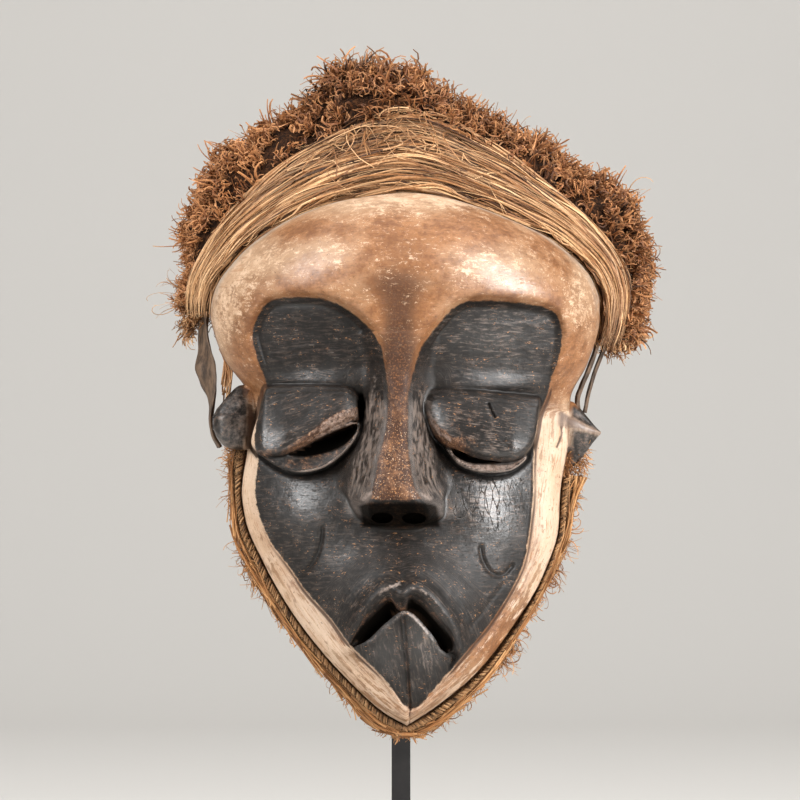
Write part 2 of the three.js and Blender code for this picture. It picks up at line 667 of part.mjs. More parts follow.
// Straps of hide: each place of a strip has x, depth, z, then how far its edges lie from its middle line
// towards the right and towards the viewer

const LEFT_STRAP = [
  [-100.5, -22, 210.5, 2.2, 7.5], [-100.7, -20, 201.5, 2.4, 7.5], [-99.5, -17, 191.5, 3.6, 7],
  [-99, -14, 182.5, 5.5, 5], [-97.3, -12, 174.5, 4.2, 6], [-96, -10, 166.5, 1.6, 7.5],
  [-96.6, -7, 157, 0.6, 8], [-95.3, -6, 149, 0.6, 8], [-92, -6, 142.5, 0.8, 7],
];
const RIGHT_FRONT_STRAP = [
  [100, -13, 195.5, 0.3, 3.4], [96.5, -13, 185, 0.3, 3.4], [92, -13, 174, 0.3, 3.4],
  [89.5, -13, 166, 0.3, 3.4], [89.8, -13, 161, 0.3, 3.4],
];
const RIGHT_BACK_STRAP = [
  [104.5, -22, 195.5, 0.2, 3.4], [98.5, -21, 180, 0.2, 3.4], [95, -19, 168, 0.2, 3.4],
  [93.5, -18, 160, 0.2, 3.4],
];

function strap(route, thick) {
  const middle = new THREE.CatmullRomCurve3(route.map(([x, depth, z]) => at(x, depth, z)));
  const edge = new THREE.CatmullRomCurve3(
    route.map(([x, depth, z, right, forward]) => at(x + right, depth + forward, z)),
  );
  const count = 2 * (route.length - 1);
  const rings = Array.from({ length: count + 1 }, (unused, i) => {
    const p = middle.getPoint(i / count);
    const half = edge.getPoint(i / count).sub(p);
    const along = middle.getTangent(i / count);
    const off = new THREE.Vector3().crossVectors(along, half).setLength(thick / 2);
    return [
      p.clone().add(half).add(off), p.clone().add(half).sub(off),
      p.clone().sub(half).sub(off), p.clone().sub(half).add(off),
    ];
  });
  return loft(rings);
}

// The stand

function boxBetween(low, high) {
  const size = new THREE.Vector3().subVectors(high, low);
  const geometry = new THREE.BoxGeometry(size.x, size.y, size.z);
  return geometry.translate((low.x + high.x) / 2, (low.y + high.y) / 2, (low.z + high.z) / 2);
}

function standPost() {
  const half = POST_SIDE / 2;
  const foot = BASE_THICK - LIFT + 0.3;
  const bar = boxBetween(at(-half, POST_DEPTH + half, foot), at(half, POST_DEPTH - half, POST_TOP));
  const crossHalf = 32;
  const cross = boxBetween(
    at(-crossHalf, POST_DEPTH + half, POST_TOP - 8),
    at(crossHalf, POST_DEPTH - half, POST_TOP),
  );
  const prongHigh = 40;
  const prong = boxBetween(at(-3, 27, prongHigh), at(3, POST_DEPTH, prongHigh + 6));
  return geometryOf(solid(bar).add(solid(cross)).add(solid(prong)));
}

function standBase() {
  const chamfer = 1.5;
  const side = BASE_SIDE / 2;
  const square = (reach, z) => [[-1, -1], [1, -1], [1, 1], [-1, 1]].map(
    ([sx, sy]) => new THREE.Vector3(sx * reach, sy * reach, z),
  );
  return loft([square(side, 0), square(side, BASE_THICK - chamfer), square(side - chamfer, BASE_THICK)]);
}

// The scene graph

function part(name, geometry, color, roughness, metalness = 0) {
  const mesh = new THREE.Mesh(geometry, new THREE.MeshStandardMaterial({ color, roughness, metalness }));
  mesh.name = name;
  return mesh;
}

const mask = new THREE.Group();
mask.position.set(0, -MASK_FORWARD, LIFT);
mask.add(
  part('mask_face', maskFace(), BROWN_WOOD, 0.45),
  part('raffia_band', raffiaBand(), BAND_FIBRE, 0.85),
  part('raffia_cap', raffiaCap(), CAP_FIBRE, 0.95),
  part('jaw_binding', jawBinding(), BINDING_FIBRE, 0.9),
  part('strap_left', strap(LEFT_STRAP, 2), STRAP_HIDE, 0.8),
  part('strap_right_front', strap(RIGHT_FRONT_STRAP, 2), STRAP_HIDE, 0.8),
  part('strap_right_back', strap(RIGHT_BACK_STRAP, 1.4), STRAP_HIDE, 0.8),
  part('stand_post', standPost(), DARK_STEEL, 0.6, 0.7),
);

const group = new THREE.Group();
group.add(mask, part('stand_base', standBase(), DARK_STEEL, 0.6, 0.7));

export default group;
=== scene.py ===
import bmesh
import bpy
import numpy as np
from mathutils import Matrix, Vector


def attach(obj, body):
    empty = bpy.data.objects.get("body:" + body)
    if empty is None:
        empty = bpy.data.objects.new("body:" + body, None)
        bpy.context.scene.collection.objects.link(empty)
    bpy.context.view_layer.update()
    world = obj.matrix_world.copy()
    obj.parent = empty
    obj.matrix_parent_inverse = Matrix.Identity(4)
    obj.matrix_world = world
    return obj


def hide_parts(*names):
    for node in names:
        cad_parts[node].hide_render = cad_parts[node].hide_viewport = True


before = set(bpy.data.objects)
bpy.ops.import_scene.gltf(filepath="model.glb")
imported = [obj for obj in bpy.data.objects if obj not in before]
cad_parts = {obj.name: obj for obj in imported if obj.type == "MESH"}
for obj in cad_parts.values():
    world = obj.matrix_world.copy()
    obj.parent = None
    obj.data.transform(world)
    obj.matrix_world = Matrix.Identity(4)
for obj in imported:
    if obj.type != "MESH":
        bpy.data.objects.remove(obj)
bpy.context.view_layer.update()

# Driving dimensions, as in the part's source
FACE_TOP = 271
CHIN_TIP = 4
WALL = 11
WALL_DRAW = 0.03
LIFT = 90
MASK_FORWARD = 4
FACE_MIDDLE = (3, 150)          # x and z that the face's walls draw in towards
JAW_LENGTH = 330                # along the wood's edge, from ear to ear under the chin
JAW_STEP = 0.004                # share of that length over which its direction is taken
PILE_ROOT = 6.0                 # how deep the tufts stand in the cap's core
CAP_FLOOR = 197
CAP_MIDDLE = 3
CAP_BACK = -132
CAP_WIDEST = -56
CAP_THICK = 14
BAND_BACK = -14
BAND_THICK = 13
BACK_COLUMNS = 6                # strips across the back of a moulded solid
EAR_POINTS = 96                 # points round each ring of an ear
UNITY = 0.7                     # how far the strands of one lock lean and curl alike
STEP = 0.75                     # half the width over which a carved step runs
COIFFURE_TO = 172               # the left side of the coiffure ends a little higher than the right
FAR_SIDE = 1.03                 # the coiffure lies behind the face, so the lens shows it this much smaller

# Linear colours, seen in the photograph
CREAM = (0.66, 0.46, 0.31)
CREAM_DULL = (0.46, 0.29, 0.175)
TAN = (0.34, 0.150, 0.058)
WARM_BROWN = (0.17, 0.066, 0.023)
UMBER = (0.085, 0.033, 0.012)
DEEP_BROWN = (0.048, 0.019, 0.009)
SOOT = (0.0075, 0.0055, 0.0042)
WORN_SOOT = (0.042, 0.029, 0.022)
# Grey of the wear, also painted as sheen on the dark wood
GREY_WEAR_AND_SHEEN = (0.20, 0.157, 0.132)
WARM_WEAR = (0.22, 0.105, 0.052)
ORANGE_WEAR = (0.36, 0.17, 0.070)
CHALK = (0.66, 0.50, 0.37)
# Pale of the right ear's ridge, painted as its highlight
RIDGE_HIGHLIGHT = (0.19, 0.138, 0.112)
DUST = (0.43, 0.285, 0.175)
# Pale pink of worn rims and of the painted highlights
PALE_RIM_AND_HIGHLIGHT = (0.42, 0.33, 0.28)
RIM_GREY = (0.40, 0.33, 0.26)
# Black of the painted shade in openings and grooves, and of the cracks
SHADE_AND_CRACK_BLACK = (0.003, 0.0025, 0.002)
RAW_WOOD = (0.12, 0.062, 0.030)
PALE_WALL = (0.62, 0.60, 0.57)


def place(x, depth, z):
    """Frame coordinates in metres of a place on the mask."""
    x, depth, z = np.broadcast_arrays(x, depth, z)
    return np.stack([x, -depth - MASK_FORWARD, z + LIFT], -1) * 0.001


# Curves and fields

def curve(*knots):
    """A smooth curve through knots (at, value) that never overshoots them."""
    at = np.array([k[0] for k in knots], float)
    value = np.array([k[1] for k in knots], float)
    step = np.diff(at)
    rise = np.diff(value) / step
    product = rise[:-1] * rise[1:]
    inner = np.where(product > 0, 2 * product / np.where(product > 0, rise[:-1] + rise[1:], 1), 0)
    slope = np.concatenate([rise[:1], inner, rise[-1:]])

    def read(q):
        q = np.clip(q, at[0], at[-1])
        i = np.clip(np.searchsorted(at, q, side="right") - 1, 0, len(at) - 2)
        s = (q - at[i]) / step[i]
        start = 1 + s * s * (2 * s - 3)
        bend = s * ((1 - s) ** 2 * slope[i] - s * (1 - s) * slope[i + 1])
        return start * value[i] + (1 - start) * value[i + 1] + step[i] * bend
    return read


def ease(value, low, high):
    s = np.clip((value - low) / (high - low), 0, 1)
    return s * s * (3 - 2 * s)


def hump(value, half_width):
    """1 where the value is 0, falling away softly on both sides."""
    return np.exp(-(value / half_width) ** 2)


def larger(a, b, blend):
    h = np.clip(0.5 + 0.5 * (a - b) / blend, 0, 1)
    return b * (1 - h) + a * h + blend * h * (1 - h)


def bump_at(x, z, centre_x, centre_z, wide_x, wide_z, height=1.0):
    return height * np.exp(-((x - centre_x) / wide_x) ** 2 - ((z - centre_z) / wide_z) ** 2)


def spots(x, z, places):
    """The sum of soft spots, each given as centre x, centre z, width, height and strength."""
    return sum(bump_at(x, z, *each) for each in places)


def rounded(corners, steps, closed=True):
    """A rounded chain of points through a few corners."""
    p = np.array(corners, float)
    before, after, later = (np.roll(p, k, 0) for k in (1, -1, -2))
    if not closed:
        before[0], after[-1], later[-1], later[-2] = p[0], p[-1], p[-1], p[-1]
    s = np.arange(steps)[None, :, None] / steps
    a, b, c, d = (q[:, None, :] for q in (before, p, after, later))
    chain = 0.5 * (2 * b + (c - a) * s + (2 * a - 5 * b + 4 * c - d) * s ** 2
                   + (3 * b - a - 3 * c + d) * s ** 3)
    if closed:
        chain = chain.reshape(-1, 2)
        return np.vstack([chain, chain[:1]])
    return np.vstack([chain[:-1].reshape(-1, 2), p[-1:]])


def line_distance(x, z, line):
    best = np.full(np.shape(x), 1e9)
    for (ax, az), (bx, bz) in zip(line[:-1], line[1:]):
        dx, dz = bx - ax, bz - az
        t = np.clip(((x - ax) * dx + (z - az) * dz) / (dx * dx + dz * dz + 1e-12), 0, 1)
        best = np.minimum(best, (x - ax - t * dx) ** 2 + (z - az - t * dz) ** 2)
    return np.sqrt(best)


def inside_distance(x, z, line):
    """Distance to a closed outline, positive inside it."""
    odd = np.zeros(np.shape(x), bool)
    for (ax, az), (bx, bz) in zip(line[:-1], line[1:]):
        if az != bz:
            crosses = (az > z) != (bz > z)
            odd ^= crosses & (x < ax + (z - az) / (bz - az) * (bx - ax))
    return line_distance(x, z, line) * np.where(odd, 1, -1)


def ripple(u, v, seed):
    """Smooth seeded noise between -1 and 1, with features about one unit across."""
    grid = np.random.default_rng(seed).uniform(-1, 1, (64, 64))
    iu, iv = np.floor(u).astype(int), np.floor(v).astype(int)
    fu, fv = ease(u - iu, 0, 1), ease(v - iv, 0, 1)
    low, high = (grid[iu % 64, row % 64] * (1 - fu) + grid[(iu + 1) % 64, row % 64] * fu
                 for row in (iv, iv + 1))
    return low * (1 - fv) + high * fv


# The outline and depths of the wood

left_edge = curve(
    (4, 3), (9.7, -7.5), (19.2, -19), (42.2, -41), (63, -56.6), (84.5, -69), (106, -78.2), (120, -80.2),
    (143, -77.3), (158, -75.5), (169, -77), (187.5, -89.5), (199, -94), (210.5, -96.5), (220.7, -94.7),
    (239.8, -81.2), (255.7, -59.7), (265.3, -35.8), (268.5, -19.8), (271, 0))
right_edge = curve(
    (4, 3), (12.6, 16.4), (29.8, 37.5), (50.6, 54.3), (78.3, 71.3), (102.5, 79.3), (120, 80.3),
    (146.5, 84.5), (166.7, 85.5), (185.5, 94.5), (207.7, 100.6), (215, 100.6), (226, 97.3), (245.8, 78.2),
    (259.9, 49.2), (265.7, 32.6), (269.8, 16), (271, 0))
rim_depth = curve(
    (4, 36), (30, 31), (60, 24), (90, 17), (126, 12), (160, 8), (190, 5), (215, 5), (240, 9), (260, 15),
    (271, 18))
dome_depth = curve(
    (150, 50), (170, 60), (185, 66), (195, 69), (207, 71), (220, 71), (232, 68.5), (244, 62), (254, 53),
    (262, 42), (268, 30), (271, 20))
face_depth = curve(
    (4, 42), (13, 46), (25, 53), (45, 58), (65, 59), (80, 57), (95, 53), (110, 51), (130, 49),
    (150, 48.5), (165, 49), (180, 50), (195, 53), (210, 57), (222, 60))
cheek_depth = curve(
    (4, 38), (25, 42), (45, 40), (65, 36), (85, 31), (105, 28), (126, 25), (150, 26), (170, 29),
    (190, 32), (205, 33), (222, 34))
hollow_depth = curve(
    (4, 24), (30, 42), (60, 44), (100, 39.5), (150, 37), (180, 38), (205, 48), (232, 50), (255, 36),
    (271, 12))
back_depth = curve((4, -2), (40, -12), (90, -24), (140, -30), (210, -34), (271, -24))

# The carved fields of the face

DARK_FIELD = rounded([
    (5, 12.5), (-8.5, 28), (-25.5, 45), (-35.5, 58), (-47.5, 71), (-56, 83), (-64, 93), (-69, 102.5),
    (-72.5, 113), (-73.5, 123.5), (-72, 135.5), (-73, 146.5), (-71.5, 159), (-70, 167.5),
    (-67.5, 174), (-71.5, 185.5), (-74.5, 199), (-70, 211), (-62, 217), (-42.5, 217.5), (-29, 213),
    (-18, 205), (-11, 196), (-8, 187), (-6.5, 175.5), (-4, 166.5), (-1.5, 160.5), (1.5, 166.5), (4, 174),
    (6, 181.5), (9.5, 192), (18, 204), (27, 213), (37, 216), (59, 215), (74, 212), (79, 206.5),
    (80.5, 197.5), (79, 187), (75.5, 177.5), (73.5, 168.5), (68, 154), (66.5, 134), (66.5, 119.5),
    (65, 105), (62, 86.5), (56, 73), (44.5, 55), (32, 40.5), (18.5, 25)], 4)
LEFT_EYE = {
    "lid": rounded([
        (-66.5, 172.8), (-54, 173.6), (-40, 173.8), (-28, 173.3), (-22.5, 170.5), (-20.3, 166), (-20.6, 160),
        (-22, 154.6), (-31.5, 151.5), (-41.5, 146.5), (-48, 143), (-55.5, 139.6), (-61, 138), (-66.5, 137.8),
        (-71.5, 140), (-74.8, 144.5), (-73.8, 151), (-70.8, 160), (-68.5, 168)], 4),
    "lower_lid": rounded([
        (-72, 141.5), (-67.5, 137.5), (-61.5, 133.5), (-54.5, 131), (-45, 131), (-35.5, 134.5),
        (-27, 141.5), (-22, 148.5), (-20.5, 155.5), (-29, 154.5), (-47.5, 146.5), (-60.5, 142.5)], 4),
    "slit": [
        (-57, 139.2), (-47.5, 143.3), (-38.5, 148), (-30, 152), (-22, 154.6), (-22.6, 149.5), (-28.5, 143.6),
        (-38, 139.7), (-47.5, 138)],
    "top": curve((-75, 150), (-70.8, 162), (-66.5, 172.8), (-54, 173.6), (-28, 173.3), (-20.3, 167)),
    "bottom": curve((-75, 143.5), (-71.5, 140), (-66.5, 137.8), (-61, 138), (-55.5, 139.6), (-48, 143),
                    (-41.5, 146.5), (-31.5, 151.5), (-20, 155)),
    "margin": curve((-75, 3), (-66, 4), (-55, 4.6), (-42, 6.5), (-30, 8.6), (-20, 8)),
    "crest": curve((-75, 49), (-68, 56), (-56, 59.5), (-40, 59.5), (-28, 57.5), (-20, 53)),
    "back": 51, "swell": 1.5, "fullness": 1.0, "turned": 6.5, "lower_depth": 54,
}
RIGHT_EYE = {
    "lid": rounded([
        (11.5, 170), (20, 172.3), (34.5, 171.5), (49.5, 169.8), (62.5, 168.4), (69, 167), (68.5, 160),
        (67.5, 151), (65, 143.5), (62, 139.5), (58.5, 137), (52.5, 135.6), (44, 136), (36, 137.5),
        (30.5, 139.5), (25.5, 141.5), (20.5, 144.3), (15.8, 148.8), (12.6, 156), (11.2, 164)], 4),
    "lower_lid": rounded([
        (22.5, 144.5), (25.5, 138), (30.5, 133.5), (38.5, 130.8), (49, 130.5), (56.5, 132.4), (62.5, 138),
        (56.5, 140.5), (39.5, 140.5)], 4),
    "slit": [
        (25, 142.6), (30, 141), (36, 138.2), (41, 137), (50, 135.6), (43.5, 134.6), (37.5, 134.2),
        (31.5, 135.4), (26.6, 138.4)],
    "top": curve((11, 168), (20, 172.3), (34.5, 171.5), (49.5, 169.8), (72, 167)),
    "bottom": curve((11, 158), (12.6, 153), (15.8, 148.6), (20.5, 144.2), (26, 141.3), (31, 139.2),
                    (36, 137.5), (44, 136), (52.5, 135.6), (59, 137), (63, 140), (67, 144.5), (70, 150),
                    (72, 157)),
    "margin": curve((11, 9), (20, 8), (30, 6), (44, 5), (56, 5), (66, 6), (72, 7)),
    "crest": curve((11, 51), (15, 54.5), (21, 58), (30, 60.8), (42, 62), (54, 61.5), (62, 58.5), (68, 53.5),
                   (72, 48)),
    "back": 51, "swell": 2.0, "fullness": 0.75, "turned": 7.0, "lower_depth": 54.5,
}
LIP_ARCH = rounded([
    (-25, 44), (-23.5, 51.5), (-19, 61.5), (-13, 69.5), (-6.5, 74), (0.5, 71.5), (6, 74.5), (13, 71),
    (20, 63), (26, 54), (29.5, 43.5)], 4, closed=False)
MOUTH = [
    (-25.5, 45), (-22.5, 52.5), (-17.5, 60.5), (-11.5, 67.5), (-7, 70.5), (-2.5, 67.5), (0.5, 66),
    (4, 71), (9, 70.5), (14.5, 65.5), (20.5, 58), (26, 50), (27, 45), (25, 41), (20, 43), (16.5, 49),
    (10.5, 56.5), (6, 61), (1.5, 62.5), (-2.5, 60.5), (-9.5, 54.5), (-15, 49), (-20.5, 45.5)]
CHIN = rounded([
    (1.5, 63), (6, 61.5), (10.5, 57), (16.5, 49.5), (20.5, 43.5), (27.5, 38.5), (18.5, 25), (5, 12.5),
    (-8.5, 28), (-24.5, 44), (-15, 49), (-9.5, 54.5), (-2.5, 60.5)], 3)
CHIN_GROOVE = [(1.5, 61), (2.5, 46), (3.5, 31), (4.5, 16), (4, 4)]
SCARS = [
    rounded([(-39, 103), (-40, 95), (-42.5, 88), (-46.5, 82), (-51.5, 78)], 3, closed=False),
    rounded([(39.5, 93.5), (40.5, 87.5), (44, 81.5), (50, 79), (55.5, 84)], 3, closed=False)]
EAR_ARC = [(80.8, 153), (80.8, 149), (79.5, 145.5), (78, 143)]
JAW_CREASE = [(51, 75), (33.5, 52.5)]
SOCKET_CRACK = rounded([(-66, 187.5), (-58, 189), (-48, 191.5), (-36, 193), (-29, 193.5), (-16, 193)], 3,
                       closed=False)
SOCKET_LINE = [(6, 193), (18, 192.6), (36, 192.4)]
LID_NICK = [(43.5, 164.5), (45, 161), (46.5, 158)]
INNER_CORNER = (-19.8, 163, 1.9, 6.8)
SLIT_RISE = 0.65                # climb of the slits for each millimetre further in
MOUTH_REACH = 45                # depth below the surface at which the mouth would narrow to its end
MOUTH_END = (1, 30)
SLIT_CUT, MOUTH_CUT, NOSTRIL_CUT = (5, 90), (30, 75), (60, 95)     # depths that the openings run through
BEND_SHARES = [0, 0.03, 0.06, 0.1, 0.15, 0.22, 0.35, 0.6, 1]
NOSTRILS = [(-9.3, 108.4, 5.2, 2.7), (6.4, 108.2, 5.8, 2.8)]

nose_middle = curve(
    (100, 0), (108, -0.3), (116, -2), (126, -3.6), (137, -3.6), (146, -2.8), (156, -1.8), (200, -1))
nose_half = curve(
    (100, 7), (104, 11.5), (108, 14.2), (112, 14.4), (115, 13.6), (118, 12.2), (122, 10.6), (126, 9.3),
    (137, 7.3), (146, 5.7), (156, 4.8), (170, 4.4), (180, 5), (190, 7.5), (200, 11))
nose_depth = curve(
    (97, 42), (101.5, 52), (104, 58), (108, 66.5), (113, 75), (116, 79), (119, 81), (123, 80.8), (128, 79),
    (136, 75.5), (146, 71.5), (156, 68.5), (166, 66.5), (176, 66), (186, 67), (196, 69))
nose_slope = curve((100, 3.4), (110, 3.0), (118, 1.9), (126, 1.3), (140, 1.15), (160, 1.25), (180, 1.4))
NOSE_TIP = 120                  # height below which the nose turns under, lower down at its sides


def nose_form(x, z):
    across = x - nose_middle(z)
    off = np.abs(across) - nose_half(z)
    fall = nose_slope(z) * (np.hypot(off, 1.6) + off) / 2
    arched = z + 0.017 * across ** 2 * ease(z, NOSE_TIP + 3, NOSE_TIP - 4) * ease(z, 103, 109)
    form = nose_depth(arched) - fall - 0.014 * across ** 2 - np.maximum(100 - z, 0) * 4
    wings = 1.6 * hump(np.abs(across) - 13, 3.2) * hump(z - 111, 4.5)
    return np.where(z < 200, form + wings, -100)


def lid_form(x, z, eye):
    """An upper lid: it swells from the ridge down to a fold and turns under towards the slit."""
    top, bottom, margin = eye["top"](x), eye["bottom"](x), eye["margin"](x)
    fold = bottom + margin
    up = np.clip((z - fold) / np.maximum(top - fold, 3), 0, 1)
    front = eye["back"] + (eye["crest"](x) - eye["back"]) * (1 - up ** eye["swell"]) ** eye["fullness"]
    down = np.clip((fold - z) / margin, 0, 1.4)
    return front - eye["turned"] * down ** 2.2


def carve_eye(x, z, depth, eye):
    in_lower = inside_distance(x, z, eye["lower_lid"])
    in_lid = inside_distance(x, z, eye["lid"])
    outside = np.maximum(-np.maximum(in_lower, in_lid), 0)
    inner_side = ease(np.abs(x), 30, 16)
    low = np.maximum(ease(z, 152, 140), inner_side * ease(z, 172, 160))
    depth = depth - 2.8 * hump(outside, 2.4) * low
    lower = ease(in_lower, -STEP, STEP)
    well = np.clip(in_lower, 0, 7)
    shelf = eye["lower_depth"] + 0.5 * hump(in_lower - 0.8, 0.9) - 0.42 * well
    depth = depth * (1 - lower) + np.maximum(shelf, depth + 1) * lower
    lid = lid_form(x, z, eye) - 2.0 * np.exp(-np.maximum(in_lid, 0) / 2.0) * ease(np.abs(x), 66, 72)
    below = np.maximum(eye["top"](x) - z, 0)
    folds = 0.28 * np.sin(2 * np.pi * below / 2.3) * ease(below, 0.3, 1) * ease(below, 7, 4)
    upper = ease(in_lid, -STEP, STEP)
    return depth * (1 - upper) + larger(depth, lid + folds, 0.6) * upper


def from_edge_of(x, z):
    """Distance inwards from the nearer side of the wood."""
    return np.minimum(x - left_edge(z), right_edge(z) - x)


def stroke(x, z, line, half_width, strength):
    """A soft line, as deep or as strong as asked along its middle."""
    return strength * hump(line_distance(x, z, line), half_width)


def lip_form(x, z):
    """The upper lip: a mound that follows the arch, breaks off at the mouth and has a notch."""
    away = line_distance(x, z, LIP_ARCH)
    mound = 4.2 * hump(away, 4.6) + 1.4 * hump(away, 9)
    notch = bump_at(x, z, 0.3, 70, 4.2, 6, 2.4) - bump_at(x, z, -4.5, 72.5, 2.6, 4, 1.2)
    return mound + notch


def front_depth(x, z):
    """Depth of the carved front."""
    left, right = left_edge(z), right_edge(z)
    half = np.maximum((right - left) / 2, 0.5)
    across = np.minimum(np.abs(x - (left + right) / 2) / half, 1)
    rim = rim_depth(z)
    dome = rim + (dome_depth(z) - rim) * (1 - across ** 2.5) ** 0.6
    face = face_depth(z) - (face_depth(z) - cheek_depth(z)) * (across / 0.87) ** 2.2
    face += spots(x, z, [(-50, 113, 22, 20, 3.5), (46, 112, 20, 18, 4.5), (2, 74, 30, 20, 5),
                         (-17, 150, 8, 22, -5), (15, 150, 8, 22, -5.5)])
    from_edge = np.maximum(np.minimum(x - left, right - x), 0)
    border = np.minimum(rim + 1.5 + np.minimum(from_edge * 1.5, 6.5 + from_edge * 0.45), face + 1.4)
    upper = ease(z, 158, 186)
    field = inside_distance(x, z, DARK_FIELD)
    brow = ease(z, 170, 190)
    outer = dome * upper + np.minimum(border, dome) * (1 - upper)
    outer -= brow * 2.2 * np.exp(-np.maximum(-field, 0) / 3.5)
    crease = (1 - upper) * ease(z, 12, 30)
    outer -= crease * 0.5 * hump(from_edge - 5.5 - 0.8 * ripple(z / 40, z * 0, 3), 0.8)
    sunk = ease(field, -0.8 - 2.2 * brow, 1.0 + 3.2 * brow)
    depth = outer * (1 - sunk) + face * sunk
    inner_edge = brow * ease(-x, 4, 14) + brow * ease(x, 4, 10) * (1 - ease(x, 30, 45))
    depth += inner_edge * 0.7 * hump(field - 2.6, 0.7)
    depth -= inner_edge * 0.5 * hump(field - 4.2, 0.6)
    depth += lip_form(x, z)
    in_chin = inside_distance(x, z, CHIN)
    chin_form = 47 + np.maximum(z - 13, 0) * 0.36 - 0.11 * np.abs(x - 3) - 0.006 * (x - 2) ** 2
    crest = ease(z, 36, 44) * hump(in_chin - 2.2, 1.6)
    chin_form = chin_form - 2 * np.exp(-np.maximum(in_chin, 0) / 1.2) + 0.9 * crest
    chin = ease(in_chin, -STEP, STEP)
    depth = depth * (1 - chin) + chin_form * chin
    depth -= stroke(x, z, CHIN_GROOVE, 0.7, 1.3)
    depth = larger(depth, nose_form(x, z), 1.5 + 4.5 * ease(z, 112, 128))
    depth += spots(x, z, [(-42, 175, 26, 4.5, 3.0), (40, 173.5, 26, 4.5, 3.0)])
    depth = carve_eye(x, z, depth, LEFT_EYE)
    depth = carve_eye(x, z, depth, RIGHT_EYE)
    for scar in SCARS + [EAR_ARC]:
        depth -= stroke(x, z, scar, 1.0, 1.8)
    depth -= stroke(x, z, JAW_CREASE, 1.2, 0.4)
    depth -= stroke(x, z, SOCKET_CRACK, 0.55, 0.6) - stroke(x, z - 0.9, SOCKET_CRACK, 0.8, 0.4)
    depth -= stroke(x, z, SOCKET_LINE, 0.4, 0.35)
    depth -= stroke(x, z, LID_NICK, 0.7, 1.6)
    cx, cz, wide, high = INNER_CORNER
    depth -= 6 * (1 - ease(np.hypot((x - cx) / wide, (z - cz) / high), 0.7, 1.1))
    return depth


def tool_marks(x, z):
    """Low facets that the carver's knife left, deeper in the sockets and on the lids."""
    socket = ease(z, 168, 176) * ease(inside_distance(x, z, DARK_FIELD), 0, 3)
    marks = 0.16 * ripple(x / 16, z / 2.4, 11) * socket
    marks += 0.10 * ripple(x / 7 + z / 9, z / 7 - x / 14, 12)
    marks += 0.05 * ripple(x / 2.6, z / 2.2, 13)
    return marks


# Meshes

def drawn_in(point, share):
    """A point of the side wall, pulled towards the middle of the face by a share of its distance."""
    out = point.copy()
    for axis, middle in ((0, FACE_MIDDLE[0]), (2, FACE_MIDDLE[1])):
        out[..., axis] += (middle - point[..., axis]) * share
    return out


def moulded(levels, columns, edges, front, walls):
    """Points and quads of a solid with a modelled front over an outline that closes at both ends."""
    z = levels[:, None] + 0 * columns[None, :]
    left, right = edges(levels)
    half = (right - left)[:, None] / 2
    half[[0, -1]] = 0
    x = (left + right)[:, None] / 2 + half * columns[None, :]
    face = np.stack([x, front(x, z), z], -1)
    chain = [wall(face[:, [0, -1]]) for wall in walls]
    share = (np.arange(1, BACK_COLUMNS) / BACK_COLUMNS)[None, :, None]
    left_side = np.stack([c[:, 0] for c in chain], 1)
    right_side = np.stack([c[:, 1] for c in chain], 1)[:, ::-1]
    across = left_side[:, -1:] * (1 - share) + right_side[:, :1] * share
    grid = np.concatenate([face, right_side[:, ::-1], across[:, ::-1], left_side[:, ::-1]], 1)
    return grid.reshape(-1, 3), quads_between(*grid.shape[:2])


def linked(name, mesh):
    thing = bpy.data.objects.new(name, mesh)
    bpy.context.scene.collection.objects.link(thing)
    return thing


def solid(name, points, faces):
    """A smooth mesh object from mask coordinates, with doubled points joined."""
    mesh = bpy.data.meshes.new(name)
    mesh.from_pydata(place(*np.array(points).T).tolist(), [], [[int(v) for v in face] for face in faces])
    body = bmesh.new()
    body.from_mesh(mesh)
    bmesh.ops.remove_doubles(body, verts=body.verts, dist=1e-6)
    bmesh.ops.recalc_face_normals(body, faces=body.faces)
    for face in body.faces:
        face.smooth = True
    body.to_mesh(mesh)
    body.free()
    return linked(name, mesh)


def quads_between(rows, wide, closed=True):
    """The quads of a grid of points, which may close round on itself across its rows."""
    i, j = np.meshgrid(np.arange(rows - 1), np.arange(wide - (not closed)), indexing="ij")
    after = (j + 1) % wide
    low, high = i * wide, (i + 1) * wide
    return np.stack([low + j, low + after, high + after, high + j], -1).reshape(-1, 4)


def cut(thing, tool, operation):
    """Joins or cuts with another closed mesh, and drops that mesh."""
    modifier = thing.modifiers.new("cut", "BOOLEAN")
    modifier.operation = operation
    modifier.solver = "MANIFOLD"
    modifier.object = tool
    shown = bpy.context.evaluated_depsgraph_get()
    mesh = bpy.data.meshes.new_from_object(thing.evaluated_get(shown))
    thing.modifiers.clear()
    thing.data = mesh
    bpy.data.objects.remove(tool)


def climbing(outline, inward):
    """The slits climb on the way in, so that no light shows straight through them."""
    return outline + np.stack([0 * inward, SLIT_RISE * inward], -1)


def narrowing(outline, inward):
    """The mouth narrows down behind the chin."""
    end = np.array(MOUTH_END, float)
    return end + (outline - end) * (1 - inward / MOUTH_REACH)[:, None]


def prism(outline, from_depth, to_depth, bend=None):
    """A straight-sided tool, or one that bends from the carved surface inwards."""
    outline = np.array(outline, float)
    count = len(outline)
    surface = front_depth(*outline.T)
    rings = [np.insert(outline, 1, to_depth, axis=1)]
    if bend:
        reach = surface - from_depth
        for share in BEND_SHARES:
            rings.append(np.insert(bend(outline, reach * share), 1, surface - reach * share, axis=1))
    else:
        rings.append(np.insert(outline, 1, from_depth, axis=1))
    k = np.arange(count)
    after = (k + 1) % count
    last = (len(rings) - 1) * count
    walls = [[i + a, i + b, i + b + count, i + a + count]
             for i in range(0, last, count) for a, b in zip(k, after)]
    return np.vstack(rings), walls + [k[::-1].tolist(), (k + last).tolist()]


def ellipse(cx, cz, wide, high, count=28):
    turn = 2 * np.pi * np.arange(count) / count
    return np.stack([cx + wide * np.cos(turn), cz + high * np.sin(turn)], -1)


